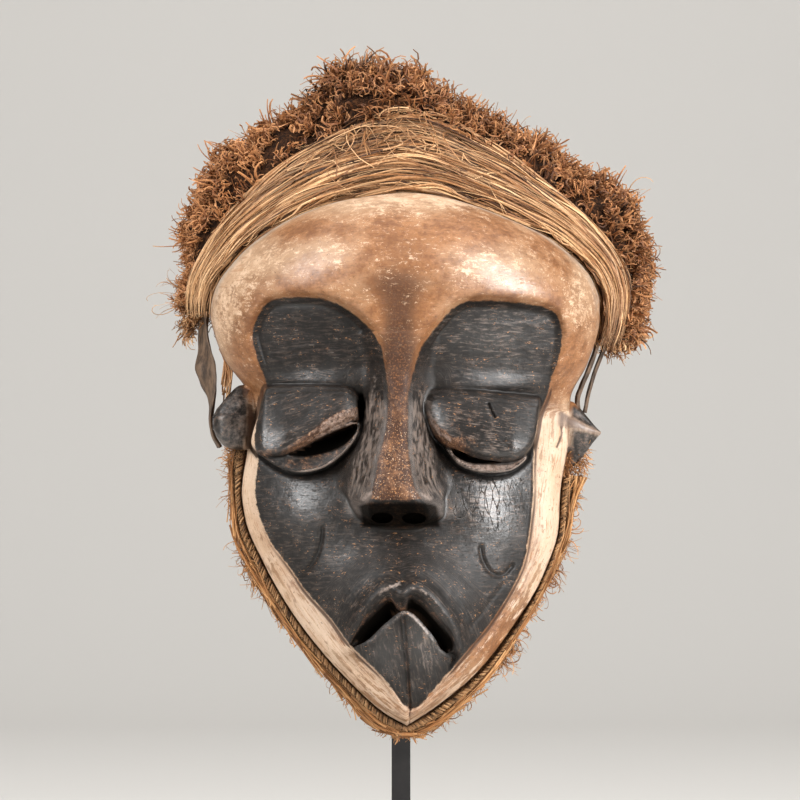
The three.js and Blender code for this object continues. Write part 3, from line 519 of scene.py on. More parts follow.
def ear(root, tip, section, shares):
    """An ear: rings that the section gives at each share of the way from the root to the tip."""
    root, tip = np.array(root, float), np.array(tip, float)
    k = np.arange(EAR_POINTS)
    turn = 2 * np.pi * k / EAR_POINTS
    rings = []
    for share in shares:
        reach, high = section(turn, share)
        rings.append(root + (tip - root) * share + np.stack([0 * turn, reach, high], -1))
    points = np.vstack(rings + [rings[0].mean(0, keepdims=True), rings[-1].mean(0, keepdims=True)])
    after = (k + 1) % EAR_POINTS
    end = len(rings) * EAR_POINTS
    last = end - EAR_POINTS
    faces = quads_between(len(rings), EAR_POINTS).tolist()
    faces += [[end, b, a] for a, b in zip(k, after)]
    faces += [[end + 1, last + a, last + b] for a, b in zip(k, after)]
    return points, faces


knob_up = curve((0, 15), (0.3, 18), (0.52, 17.5), (0.7, 13.5), (0.85, 9), (0.95, 6), (1, 3))
knob_down = curve((0, 14), (0.3, 15), (0.6, 14.5), (0.8, 12.5), (0.92, 9), (1, 4))
knob_fore = curve((0, 1), (0.19, 2.5), (0.3, 8), (0.45, 10.5), (0.8, 9.5), (0.93, 6.5), (1, 3))


def knob_section(turn, share):
    """The blunt left ear: a squared oval, its rough upper facet set back above a crease."""
    power = (np.abs(np.cos(turn)) ** 2.8 + np.abs(np.sin(turn)) ** 2.8) ** (-1 / 2.8)
    high = np.where(np.sin(turn) > 0, knob_up(share), knob_down(share)) * power * np.sin(turn)
    reach = np.where(np.cos(turn) > 0, knob_fore(share), 15.5 * knob_up(share) / 18) * power * np.cos(turn)
    front = ease(np.cos(turn), 0.05, 0.3) * ease(share, 0.25, 0.4)
    level = share + 0 * high
    rough = 0.9 * ripple(high / 2.2, level * 8, 7) + 0.5 * ripple(high / 5, level * 3, 8)
    return reach - front * (3.0 * ease(high, 2.6, 3.6) + rough * (0.35 + 0.65 * ease(high, 2, 4))), high


def pyramid_section(turn, share):
    """The pointed right ear: flat faces, with a ridge towards the viewer."""
    corner = [np.deg2rad(14), np.deg2rad(112), np.deg2rad(256)]
    near = sum(np.exp(-(np.abs(np.angle(np.exp(1j * (turn - c)))) / 0.42) ** 1.6) for c in corner)
    radius = 0.60 + 0.40 * near
    high = 18.8 * curve((0, 1), (0.38, 0.98), (0.97, 0.07), (1, 0.03))(share)
    fore = curve((0, 2), (0.38, 8.5), (0.97, 0.9), (1, 0.4))(share)
    reach = np.where(np.cos(turn) > 0, fore, 15 * high / 18.8)
    return reach * radius * np.cos(turn), high * radius * np.sin(turn)


# Each ear: its root, its tip, its section and the shares of the way that have a ring
LEFT_EAR = ((-68, 8, 157), (-94.3, 15, 155.5), knob_section,
            [0, 0.2, 0.3, 0.38, 0.45, 0.52, 0.6, 0.7, 0.8, 0.88, 0.94, 0.98, 1, 1.015])
RIGHT_EAR = ((74, 4, 149), (100.8, 9.5, 150), pyramid_section,
             [0, 0.2, 0.38, 0.5, 0.62, 0.74, 0.85, 0.93, 0.97, 1])


def outer_wood():
    levels = np.concatenate([
        np.linspace(CHIN_TIP, 40, 42, endpoint=False), np.linspace(40, 130, 106, endpoint=False),
        np.linspace(130, 180, 72, endpoint=False), np.linspace(180, 266, 92, endpoint=False),
        np.linspace(266, FACE_TOP, 12)])
    even = np.linspace(-1, 1, 236)
    columns = 0.3 * np.sin(even * np.pi / 2) + 0.7 * even

    def front(x, z):
        marks = tool_marks(x, z)
        near = from_edge_of(x, z)
        return front_depth(x, z) + marks * ease(near, 0, 2) - 0.8 * (1 - ease(near, 0, 1.4))

    def wall(share):
        def moved(p):
            q = drawn_in(p, WALL_DRAW * share ** 0.5)
            back = back_depth(p[..., 2])
            q[..., 1] = p[..., 1] + (back - p[..., 1]) * share
            wave = 0.35 * ripple(p[..., 2] / 9, q[..., 1] / 9, 21) * np.sin(np.pi * share)
            q[..., 0] += wave * np.sign(p[..., 0] - 3)
            return q
        return moved

    walls = [wall(share) for share in (0.05, 0.15, 0.3, 0.5, 0.7, 0.86, 0.96, 1)]
    return moulded(levels, columns, lambda z: (left_edge(z), right_edge(z)), front, walls)


def hollow_wood():
    low, high = CHIN_TIP + 12, FACE_TOP - WALL
    shift = curve((low, -12), (60, 0), (200, 0), (high, WALL))

    def edges(z):
        inset = WALL * np.sqrt(np.maximum(0, 1 - (shift(z) / 12) ** 2))
        return left_edge(z + shift(z)) + inset, right_edge(z + shift(z)) - inset

    def front(x, z):
        left, right = edges(z)
        half = np.maximum((right - left) / 2, 0.5)
        across = np.minimum(np.abs(x - (left + right) / 2) / half, 1)
        rim = rim_depth(z) - WALL
        facets = 0.7 * ripple(x / 11, z / 15, 31) + 0.35 * ripple(x / 4, z / 9, 32)
        return rim + np.maximum(hollow_depth(z) - rim, 0) * (1 - across ** 2.5) ** 0.6 + facets

    levels = np.linspace(low, high, 90)
    columns = np.sin(np.linspace(-1, 1, 57) * np.pi / 2)

    def behind(p):
        q = p.copy()
        q[..., 1] = -60
        return q

    return moulded(levels, columns, edges, front, [behind])


def carved_face():
    face = solid("carved_face", *outer_wood())
    for each in (LEFT_EAR, RIGHT_EAR):
        cut(face, solid("ear", *ear(*each)), "UNION")
    cut(face, solid("hollow", *hollow_wood()), "DIFFERENCE")
    for eye in (LEFT_EYE, RIGHT_EYE):
        slit = rounded(eye["slit"], 3)[:-1]
        cut(face, solid("opening", *prism(slit, *SLIT_CUT, climbing)), "DIFFERENCE")
    cut(face, solid("opening", *prism(rounded(MOUTH, 3)[:-1], *MOUTH_CUT, narrowing)), "DIFFERENCE")
    for nostril in NOSTRILS:
        cut(face, solid("opening", *prism(ellipse(*nostril), *NOSTRIL_CUT)), "DIFFERENCE")
    return face


# Paint: values worked out at each point of the wood, which its material reads

def points_of(thing):
    """The mask coordinates of a mesh's points."""
    flat = np.empty(len(thing.data.vertices) * 3, np.float32)
    thing.data.vertices.foreach_get("co", flat)
    p = flat.reshape(-1, 3).astype(float) * 1000
    return p[:, 0], -p[:, 1] - MASK_FORWARD, p[:, 2] - LIFT


def store(thing, name, values):
    attribute = thing.data.attributes.new(name, "FLOAT", "POINT")
    attribute.data.foreach_set("value", np.ascontiguousarray(values, np.float32))


class Raster:
    """A picture of the front's relief on a square grid, for the hollows and for the dirt and painted shade in
    its creases.
    """
    PITCH = 0.5

    def __init__(self):
        self.x = np.arange(-110, 115, self.PITCH)
        self.z = np.arange(0, 275, self.PITCH)
        x, z = np.meshgrid(self.x, self.z)
        self.depth = front_depth(x, z)

    def blurred(self, radius):
        taps = np.arange(-int(3 * radius / self.PITCH), int(3 * radius / self.PITCH) + 1)
        weight = hump(taps * self.PITCH, radius)
        weight /= weight.sum()
        out = self.depth
        for axis in (0, 1):
            out = sum(w * np.roll(out, t, axis) for w, t in zip(weight, taps))
        return out

    def read(self, field, x, z):
        u = np.clip((x - self.x[0]) / self.PITCH, 0, len(self.x) - 1.001)
        v = np.clip((z - self.z[0]) / self.PITCH, 0, len(self.z) - 1.001)
        iu, iv = u.astype(int), v.astype(int)
        fu, fv = u - iu, v - iv
        low, high = (field[row, iu] * (1 - fu) + field[row, iu + 1] * fu for row in (iv, iv + 1))
        return low * (1 - fv) + high * fv


def flow_of(x, z):
    """Coordinates across and along the strokes of the carver's knife, as they turn over the face."""
    cross, along = z + 1.2 * ripple(x / 15, z / 15, 15), x + 0
    off = np.abs(x - nose_middle(z)) - nose_half(z)
    flank = ease(off, -1, 3) * ease(off, 22, 12) * ease(z, 106, 118) * ease(z, 186, 170)
    lids = [ease(inside_distance(x, z, eye["lid"]), 0, 2) for eye in (LEFT_EYE, RIGHT_EYE)]
    lip = line_distance(x, z, LIP_ARCH)
    in_chin = ease(inside_distance(x, z, CHIN), -0.5, 0.5)
    border = ease(-inside_distance(x, z, DARK_FIELD), 0, 2) * ease(z, 175, 160)
    for share, new_cross, new_along in (
            (ease(lip, 22, 10), lip * 1.2, x + z), (in_chin, x + 0.2 * z, z), (flank, off * 1.1, z),
            (lids[0], z * 0.94 - x * 0.34, x * 0.94 + z * 0.34), (lids[1], z * 0.98 + x * 0.17, x),
            (border, from_edge_of(x, z), z)):
        cross = cross * (1 - share) + new_cross * share
        along = along * (1 - share) + new_along * share
    return cross, along


def eye_paint(x, z, depth, surface, eye):
    """Shares at one eye: brown wear on the lid's margin, the lower lid's shelf, a painted highlight along the
    lower lid's rim, black painted shade in the slit and the groove below it, and painted shade under the
    lid's lower edge.
    """
    in_lid = inside_distance(x, z, eye["lid"])
    in_lower = inside_distance(x, z, eye["lower_lid"])
    fold = eye["bottom"](x) + eye["margin"](x)
    margin = ease(in_lid, -0.4, 0.6) * ease(fold - z, -1.5, 1)
    shelf = ease(in_lower, 0.6, 1.6) * (1 - ease(in_lid, -0.6, 0.2))
    # The lower lid's rim: a painted highlight.
    rim = hump(in_lower - 0.3, 0.8) * (1 - ease(in_lid, -1, 0)) * ease(z, 156, 148)
    below = ease(surface - depth, 0.25, 0.8)
    # Inside the slit: black painted shade.
    slit = ease(inside_distance(x, z, rounded(eye["slit"], 3)), -0.3, 0.1) * below
    outside = -np.maximum(in_lower, in_lid)
    shadow = hump(outside - 1.6, 1.3) * ease(z, 150, 142)
    # Under the upper lid's lower edge: painted shade.
    lip = hump(z - eye["bottom"](x), 0.9) * ease(in_lid, -0.5, 0.3)
    return margin, shelf, rim, np.maximum(slit, 0.7 * shadow), lip


# Painted lines: the places they run through, half their width and how strong they are
# Light strokes: painted highlights on the right lid's inner facet, along the upper lip's edges and along the
# left socket's inner edge.
HIGHLIGHT_STROKES = [
    ([(13.5, 161), (15.5, 155), (19, 150.5), (24, 147)], 1.5, 0.5),
    ([(-10.5, 71.5), (-6, 74.2), (-1, 76)], 1.6, 0.45),
    ([(5, 74), (10, 73), (16, 68.5), (21, 62)], 1.0, 0.4),
    ([(-12.5, 179), (-14, 171), (-15.5, 160)], 1.6, 0.35)]
WARM_STROKES = [
    ([(7, 174.5), (20, 173.5), (40, 172), (66, 169)], 0.8, 0.28),
    ([(-66, 173.5), (-50, 175.5), (-36, 175)], 0.8, 0.25),
    (CHIN_GROOVE, 0.8, 0.6),
    ([(-1, 104), (10, 103.5), (19, 105)], 1.6, 0.5),
    ([(-60, 187), (-48, 190.5), (-36, 192)], 0.8, 0.5)]
# Black painted shade in the right lid's nick and along the middle of the chin.
SHADE_STROKES = [(LID_NICK, 0.7, 1), ([(0, 60), (0.5, 50), (2, 40), (3.5, 20)], 0.8, 0.5)]


def paint_dark_wood(x, depth, z, surface):
    """Shares of brown wear, painted highlights, black painted shade, grey wear with painted sheen, and sheen
    on the blackened wood.
    """
    margin, shelf, rim, black, lip = eye_paint(x, z, depth, surface, LEFT_EYE)
    warm = np.maximum(margin * (0.45 + 0.55 * ease(x, -62, -40)), 0.4 * shelf)
    # light: painted highlights, here on the left lid's margin and along the left lower lid's rim.
    light = np.maximum(rim * ease(x, -62, -44), 0.42 * margin * ease(x, -60, -36))
    margin, shelf, rim, shade, more_lip = eye_paint(x, z, depth, surface, RIGHT_EYE)
    warm = np.maximum(warm, np.maximum(margin * (0.2 + 0.7 * ease(x, 38, 26)), 0.9 * shelf))
    brown = [(29, 147, 10, 6, 0.45), (-34, 160, 14, 8, 0.25), (30, 160, 16, 8, 0.25)]
    warm = np.maximum(warm, spots(x, z, brown))
    # Painted highlights along the right lower lid's rim and on its upturned shelf.
    light = np.maximum(light, np.maximum(0.75 * rim, 0.55 * shelf))
    # Black painted shade in both eyes' slits and grooves, and under the lids' edges.
    black = np.maximum(np.maximum(black, shade), 0.8 * np.maximum(lip, more_lip))
    across = np.abs(x - nose_middle(z))
    roll = 120.3 - 0.012 * across ** 2
    under = ease(roll - z, 0.5, 2.5) * ease(z, 102, 104.5) * ease(across, 21, 18)
    warm = np.maximum(warm, 0.4 * under)
    # The nose's underside: painted shade, nearly black.
    black = np.maximum(black, 0.93 * under * ease(z, 118, 115))
    # The nose's tip: a painted highlight along the top of its roll.
    tip = hump(z - roll - 1.6, 2.4) * ease(across, 20, 16)
    light = np.maximum(light, tip * (0.25 + 0.3 * ease(across, 4, 10)))
    for cx, cz, wide, high in NOSTRILS:
        reach = np.hypot((x - cx) / wide, (z - cz) / high)
        # Inside the nostrils: black painted shade.
        black = np.maximum(black, ease(reach, 1.12, 1.0))
        # A painted highlight along the lower edge of each nostril.
        light = np.maximum(light, 0.3 * hump(reach - 1.25, 0.12) * ease(z, cz, cz - 1))
    cx, cz, wide, high = INNER_CORNER
    reach = np.hypot((x - cx) / wide, (z - cz) / high)
    # Inside the hole at the left eye's inner corner: black painted shade.
    black = np.maximum(black, ease(reach, 1.1, 0.9))
    mouth = inside_distance(x, z, rounded(MOUTH, 3))
    wall = surface - depth
    # Inside the mouth, below the surface: black painted shade.
    black = np.maximum(black, ease(mouth, -1.5, 0.5) * ease(wall, 0.5, 1.9))
    upper_wall = ease(mouth, -0.5, 0.5) * ease(wall, 0.2, 0.6) * ease(wall, 2.0, 0.9)
    warm = np.maximum(warm, 0.5 * upper_wall)
    in_chin = inside_distance(x, z, CHIN)
    # A painted highlight along the chin's crest.
    crest = hump(in_chin - 1.4, 1.3) * ease(z, 40, 52)
    light = np.maximum(light, crest * (0.25 + 0.3 * ease(x, -4, 4)))
    for line, half_width, strength in HIGHLIGHT_STROKES:
        light = np.maximum(light, stroke(x, z, line, half_width, strength))
    for line, half_width, strength in WARM_STROKES:
        warm = np.maximum(warm, stroke(x, z, line, half_width, strength))
    for line, half_width, strength in SHADE_STROKES:
        black = np.maximum(black, stroke(x, z, line, half_width, strength))
    off = across - nose_half(z)
    flank = ease(off, -1, 1.5) * ease(off, 17, 9) * ease(z, 106, 112) * ease(z, 180, 160)
    # Grey wear and painted sheen: the spots on the cheeks, lids, chin and the nose's flanks stand in for
    # their shine.
    grey_wear_and_sheen = 1.1 * flank + spots(x, z, [
        (44, 117, 20, 16, 1.0), (-50, 120, 18, 13, 0.45), (-38, 180, 26, 6, 0.5), (38, 178, 24, 7, 0.45),
        (40, 202, 26, 13, 0.35), (-40, 215, 20, 4, 0.5), (13, 45, 7, 13, 0.9), (-7, 42, 8, 14, 0.45),
        (-22, 66, 12, 7, 0.35), (24, 66, 12, 7, 0.5), (-24, 95, 14, 10, 0.25), (-46, 158, 22, 12, 0.3),
        (40, 154, 26, 14, 0.6), (-62, 147, 10, 6, 0.6), (18, 156, 7, 9, 0.5), (50, 143, 9, 5, 0.5)])
    grey_wear_and_sheen += 0.35 * ease(z, 182, 190) * ease(x, 4, 12)
    sheen = 0.26 + 0.55 * flank + spots(x, z, [
        (-60, 146, 11, 6, 0.60), (-70, 152, 6, 9, 0.25), (18, 156, 6, 9, 0.40), (51, 143, 9, 5, 0.65),
        (45, 115, 22, 18, 1.0), (-50, 119, 18, 15, 0.50), (42, 198, 24, 14, 0.40), (-44, 216, 22, 4, 0.4),
        (-2, 86, 20, 10, -0.12), (14, 50, 9, 13, 0.8), (-8, 44, 8, 12, 0.4), (-30, 96, 14, 12, 0.15),
        (0, 30, 22, 18, 0.15), (0, 148, 6, 34, -0.5), (-38, 180, 26, 4, 0.25), (40, 179, 26, 5, 0.3)])
    return tuple(np.clip(value, 0, 1) for value in (warm, light, black, grey_wear_and_sheen, sheen))


def paint_ears(x, z, near):
    """Shares of the dark facets of both ears and of the painted highlight along the right one's ridge."""
    along = np.clip((x - 80.5) / 20, 0, 1)
    ridge_highlight = ease(3.8 - 3.2 * along - np.abs(z - 157 + 7.5 * along), -0.9, 0.9) * ease(x, 77, 81)
    right = ease(-near, -0.8, 0.8) * ease(x, 78, 82)
    left = ease(-near, 0.4, 1.8) * ease(-x, 70, 76)
    inside = ease(z, 122, 128) * (1 - ease(z, 180, 186))
    return (right * (1 - 0.95 * ridge_highlight) + left) * inside, ridge_highlight * inside


def paint_pale_wood(x, z):
    """How much of the pale, flaking coat is left on the forehead and the border, from 0 to 1."""
    lower = ease(z, 175, 150)
    forehead = 0.22 + spots(x, z, [
        (-88, 212, 11, 32, 0.40), (-80, 186, 9, 14, -0.22), (-72, 236, 18, 14, 0.35),
        (-30, 267, 44, 7, 0.40), (36, 267, 44, 7, 0.35), (90, 216, 8, 26, 0.35), (86, 186, 11, 18, -0.30),
        (-38, 240, 18, 7, 0.22), (46, 234, 24, 10, 0.30), (-12, 224, 12, 12, 0.12),
        (0, 206, 13, 26, -0.36), (-1, 176, 8, 24, -0.5), (4, 240, 15, 12, -0.16),
        (76, 226, 14, 9, -0.05), (26, 252, 20, 7, -0.10), (-52, 250, 14, 5, -0.10), (-58, 222, 12, 7, -0.08)])
    border = 0.60 + spots(x, z, [
        (78, 128, 14, 52, 0.20), (-76, 130, 12, 40, 0.26), (-52, 50, 18, 20, 0.30), (-20, 14, 18, 12, -0.16),
        (46, 46, 20, 30, -0.46), (90, 168, 9, 12, -0.10)])
    return np.clip(forehead * (1 - lower) + border * lower, 0, 1)


def paint_face(face):
    x, depth, z = points_of(face)
    raster = Raster()
    surface = raster.read(raster.depth, x, z)
    near = from_edge_of(x, z)
    ridge = nose_half(z) + 0.5 - np.abs(x - nose_middle(z))
    cross, along = flow_of(x, z)
    warm, light, black, grey_wear_and_sheen, sheen = paint_dark_wood(x, depth, z, surface)
    dark_ear, ridge_highlight = paint_ears(x, z, near)
    inside = inside_distance(x, z, DARK_FIELD)
    pale_sheen = 0.3 + spots(x, z, [(-48, 236, 22, 9, 0.4), (50, 229, 26, 13, 0.7), (0, 262, 60, 8, -0.2),
                                    (-91, 150, 8, 9, 0.5), (92, 150, 9, 16, 0.3)])
    umber = spots(x, z, [(-1, 188, 9, 26, 1.0), (0, 222, 17, 15, 0.5), (0, 165, 6, 14, 0.4),
                         (4, 244, 22, 8, 0.2), (-18, 224, 12, 6, 0.25), (22, 224, 12, 6, 0.2)])
    values = {
        "field": inside, "near": near, "height": z,
        "ridge": np.where((z > 118) & (z < 200), ridge, -5), "cross": cross, "along": along,
        "fine": raster.read(raster.depth - raster.blurred(1.4), x, z),
        "sunken": ease(surface - depth, 1.2, 4) * ease(near, 3.5, 6),
        "wall": ease(surface - depth, 0.8, 2.5) * (1 - ease(near, 3.5, 6)) * (1 - ease(-near, 2.5, 4)),
        # light holds the painted highlights, black the painted shade.
        "pale": paint_pale_wood(x, z), "warm": warm, "light": light, "black": black,
        "grey_wear_and_sheen": grey_wear_and_sheen, "umber": np.clip(umber, 0, 1),
        "stripe": ease(inside, -8.5, -2.5) * ease(z, 140, 60) * (0.3 + 0.7 * ease(x, -12, 20)),
        "ear": dark_ear, "ridge_highlight": ridge_highlight, "crazed": bump_at(x, z, 41, 118, 22, 19),
        "sheen": np.where(inside > 0, sheen, pale_sheen),
    }
    for name, value in values.items():
        store(face, name, value)


# Materials

class Shader:
    """A small builder of node materials."""

    def __init__(self, name):
        self.material = bpy.data.materials.new(name)
        self.material.use_nodes = True
        self.tree = self.material.node_tree
        self.shader = self.tree.nodes["Principled BSDF"]
        self.place = self.node("ShaderNodeTexCoord").outputs["Object"]

    def link(self, value, socket):
        """Links a socket, or sets a plain value on it."""
        if isinstance(value, bpy.types.NodeSocket):
            self.tree.links.new(value, socket)
        else:
            socket.default_value = (*value, 1) if socket.type == "RGBA" else value

    def node(self, kind, sockets=None, **settings):
        """A node with its settings, and with what its inputs hold, by name or by number."""
        made = self.tree.nodes.new(kind)
        for name, value in settings.items():
            setattr(made, name, value)
        for key, value in (sockets or {}).items():
            self.link(value, made.inputs[key])
        return made

    def attribute(self, name):
        return self.node("ShaderNodeAttribute", attribute_name=name).outputs["Fac"]

    def math(self, operation, a, b=0.0, clamp=False):
        return self.node("ShaderNodeMath", {0: a, 1: b}, operation=operation, use_clamp=clamp).outputs[0]

    def times(self, a, b):
        return self.math("MULTIPLY", a, b)

    def centred(self, value):
        return self.math("SUBTRACT", value, 0.5)

    def span(self, value, low, high, to_low=0.0, to_high=1.0):
        """Runs softly from to_low to to_high while the value runs from low to high."""
        return self.node("ShaderNodeMapRange", dict(enumerate((value, low, high, to_low, to_high))),
                         interpolation_type="SMOOTHSTEP").outputs[0]

    def mix(self, share, a, b):
        return self.node("ShaderNodeMix", {"Factor": share, 6: a, 7: b}, data_type="RGBA").outputs[2]

    def plain_mix(self, share, a, b):
        """A value between two values."""
        return self.node("ShaderNodeMix", {0: share, 2: a, 3: b}, data_type="FLOAT").outputs[0]

    def stretched(self, stretch, turn=(0, 0, 0)):
        sockets = {"Scale": stretch, "Rotation": turn, "Vector": self.place}
        return self.node("ShaderNodeMapping", sockets).outputs[0]

    def noise(self, size, detail=4.0, rough=0.55, stretch=(1, 1, 1), turn=(0, 0, 0), warp=0.0):
        """Noise whose features are about size millimetres across."""
        return self.node("ShaderNodeTexNoise", {
            "Vector": self.stretched(stretch, turn), "Scale": 1000 / size, "Detail": detail,
            "Roughness": rough, "Distortion": warp}).outputs["Fac"]

    def cells(self, size, stretch=(1, 1, 1), feature="F1"):
        return self.node("ShaderNodeTexVoronoi", {"Vector": self.stretched(stretch), "Scale": 1000 / size},
                         feature=feature).outputs["Distance"]

    def flow(self, size, ratio):
        """Noise drawn out along the carver's strokes, size millimetres across."""
        strokes = self.node("ShaderNodeCombineXYZ", {
            "X": self.times(self.attribute("cross"), 1 / size),
            "Y": self.times(self.attribute("along"), 1 / (size * ratio))}).outputs[0]
        return self.node("ShaderNodeTexNoise", {
            "Vector": strokes, "Scale": 1, "Detail": 4, "Roughness": 0.65}).outputs["Fac"]

    def total(self, *terms):
        """The sum of values, each with its weight."""
        whole = 0.0
        for value, weight in terms:
            whole = self.math("ADD", self.times(value, weight), whole)
        return whole

    def bump(self, height, distance, normal=None):
        """Relief as high as the distance, in millimetres, over an earlier relief if there is one."""
        sockets = {"Distance": distance * 0.001, "Height": height}
        if normal:
            sockets["Normal"] = normal
        return self.node("ShaderNodeBump", sockets).outputs["Normal"]

    def finish(self, colour, roughness, normal=None, **constants):
        values = {name.replace("_", " "): value for name, value in constants.items()}
        values.update({"Base Color": colour, "Roughness": roughness})
        if normal:
            values["Normal"] = normal
        for name, value in values.items():
            self.link(value, self.shader.inputs[name])
        return self.material


def pale_wood(s, cloud, mottle, grain, speck):
    """Brown wood under a flaking pale coat, with an orange stripe and a grey-white top rim."""
    pale, height = s.attribute("pale"), s.attribute("height")
    on_border = s.span(height, 178, 158)
    patches = s.noise(9, 6, 0.7, stretch=(0.7, 1, 1.2))
    brown = s.mix(s.span(s.total((patches, 0.6), (grain, 0.4), (cloud, 0.3)), 0.50, 0.78), WARM_BROWN, TAN)
    brown = s.mix(s.span(s.flow(0.8, 9), 0.55, 0.70, 0, 0.5), brown, UMBER)
    umber = s.total((s.attribute("umber"), 1.0), (s.centred(patches), 0.9))
    brown = s.mix(s.span(umber, 0.10, 0.75, 0, 0.85), brown, UMBER)
    dust = s.total((pale, 1.1), (s.centred(cloud), 0.9), (s.centred(patches), 0.7))
    brown = s.mix(s.span(dust, 0.12, 0.80, 0, 0.75), brown, DUST)
    chips = s.total((s.noise(3.4, 8, 0.78, stretch=(0.6, 1, 1.3), warp=0.4), 0.75),
                    (s.noise(1.2, 4, 0.7, stretch=(0.7, 1, 1.2)), 0.25))
    flake = s.total((s.plain_mix(on_border, chips, s.flow(2.6, 4)), 1.25), (patches, 0.35), (pale, 0.45))
    flake = s.total((flake, 1.0), (on_border, 0.03))
    coat = s.span(flake, 1.01, 1.07)
    coat_colour = s.mix(s.span(mottle, 0.36, 0.66), CREAM_DULL, CREAM)
    coat_colour = s.mix(s.times(on_border, s.span(cloud, 0.3, 0.6, 0.2, 0.9)), coat_colour, CHALK)
    coat_colour = s.mix(s.span(s.flow(0.9, 12), 0.53, 0.66, 0, 0.7), coat_colour, TAN)
    colour = s.mix(coat, brown, coat_colour)
    flecks = s.times(s.span(s.noise(1.9, 5, 0.8, stretch=(0.6, 1, 1.15), warp=0.8), 0.57, 0.62),
                    s.span(patches, 0.44, 0.57))
    colour = s.mix(s.times(flecks, 0.8), colour, CREAM)
    smudge = s.span(s.total((mottle, 0.5), (s.flow(1.8, 8), 0.5)), 0.53, 0.66, 0, 0.75)
    colour = s.mix(s.times(on_border, smudge), colour, WARM_BROWN)
    streaks = s.span(s.total((mottle, 0.4), (s.flow(1.5, 9), 0.6)), 0.38, 0.6)
    colour = s.mix(s.times(s.attribute("stripe"), streaks), colour,
                   s.mix(s.span(grain, 0.4, 0.65), WARM_BROWN, TAN))
    colour = s.mix(s.times(s.span(speck, 0.64, 0.70), 0.7), colour, DEEP_BROWN)
    top = s.times(s.span(s.attribute("near"), 5, 1), s.span(height, 190, 235))
    return s.mix(s.times(top, s.span(mottle, 0.30, 0.6, 0, 0.9)), colour, RIM_GREY)


def dark_wood(s, mottle, grain, speck):
    """Blackened wood, scratched pale along the carver's strokes, worn grey and brown, with painted sheen in
    its grey and painted highlights along its rims.
    """
    marks = s.flow(1.3, 6)
    value = s.total((marks, 0.85), (mottle, 0.15), (grain, 0.2), (s.flow(0.45, 9), 0.25))
    colour = s.mix(s.span(value, 0.70, 0.86), SOOT, WORN_SOOT)
    # Grey wear and painted sheen.
    rubbed_and_sheen = s.total((value, 1.0), (s.attribute("grey_wear_and_sheen"), 0.26))
    colour = s.mix(s.span(rubbed_and_sheen, 0.88, 1.10, 0, 0.85), colour, GREY_WEAR_AND_SHEEN)
    hair_lines = s.times(s.span(s.flow(0.6, 16), 0.60, 0.68), s.span(mottle, 0.42, 0.6))
    slanted = s.noise(1.0, 2, 0.5, stretch=(0.14, 1, 1), turn=(0, 0.5, 0))
    slanted = s.times(s.span(slanted, 0.66, 0.70), s.span(mottle, 0.5, 0.6))
    lines = s.total((hair_lines, 0.75), (slanted, 0.6))
    colour = s.mix(s.math("MINIMUM", lines, 1.0), colour, GREY_WEAR_AND_SHEEN)
    wear = s.total((s.attribute("warm"), 1.0), (s.centred(mottle), 1.5),
                   (s.centred(grain), 0.8))
    brown = s.mix(s.span(s.total((grain, 0.6), (speck, 0.5)), 0.46, 0.70), DEEP_BROWN, WARM_WEAR)
    brown = s.mix(s.times(s.span(speck, 0.60, 0.68), 0.7), brown, CREAM_DULL)
    colour = s.mix(s.span(wear, 0.30, 0.75, 0, 0.92), colour, brown)
    nicks = s.noise(1.2, 2, 0.5, stretch=(0.55, 1, 1.5), turn=(0, 0.6, 0), warp=1.2)
    colour = s.mix(s.times(s.span(nicks, 0.645, 0.69), s.span(mottle, 0.46, 0.58)), colour, ORANGE_WEAR)
    # Painted highlights where the light share is set, and pale worn specks through the grain.
    rims_and_highlights = s.total((s.attribute("light"), 1.0), (s.centred(grain), 1.2))
    return s.mix(s.span(rims_and_highlights, 0.22, 0.8, 0, 0.9), colour, PALE_RIM_AND_HIGHLIGHT)


def nose_wood(s, mottle, grain, speck):
    """The nose's ridge: dark brown with orange and cream flecks."""
    colour = s.mix(s.span(s.total((mottle, 0.8), (grain, 0.5)), 0.58, 0.88), DEEP_BROWN, WARM_WEAR)
    colour = s.mix(s.times(s.span(speck, 0.56, 0.64), 0.75), colour, ORANGE_WEAR)
    pale_flecks = s.span(s.noise(0.8, 2, 0.6), 0.64, 0.70)
    return s.mix(s.times(pale_flecks, s.span(s.attribute("umber"), 0.7, 0.2)), colour, CREAM)


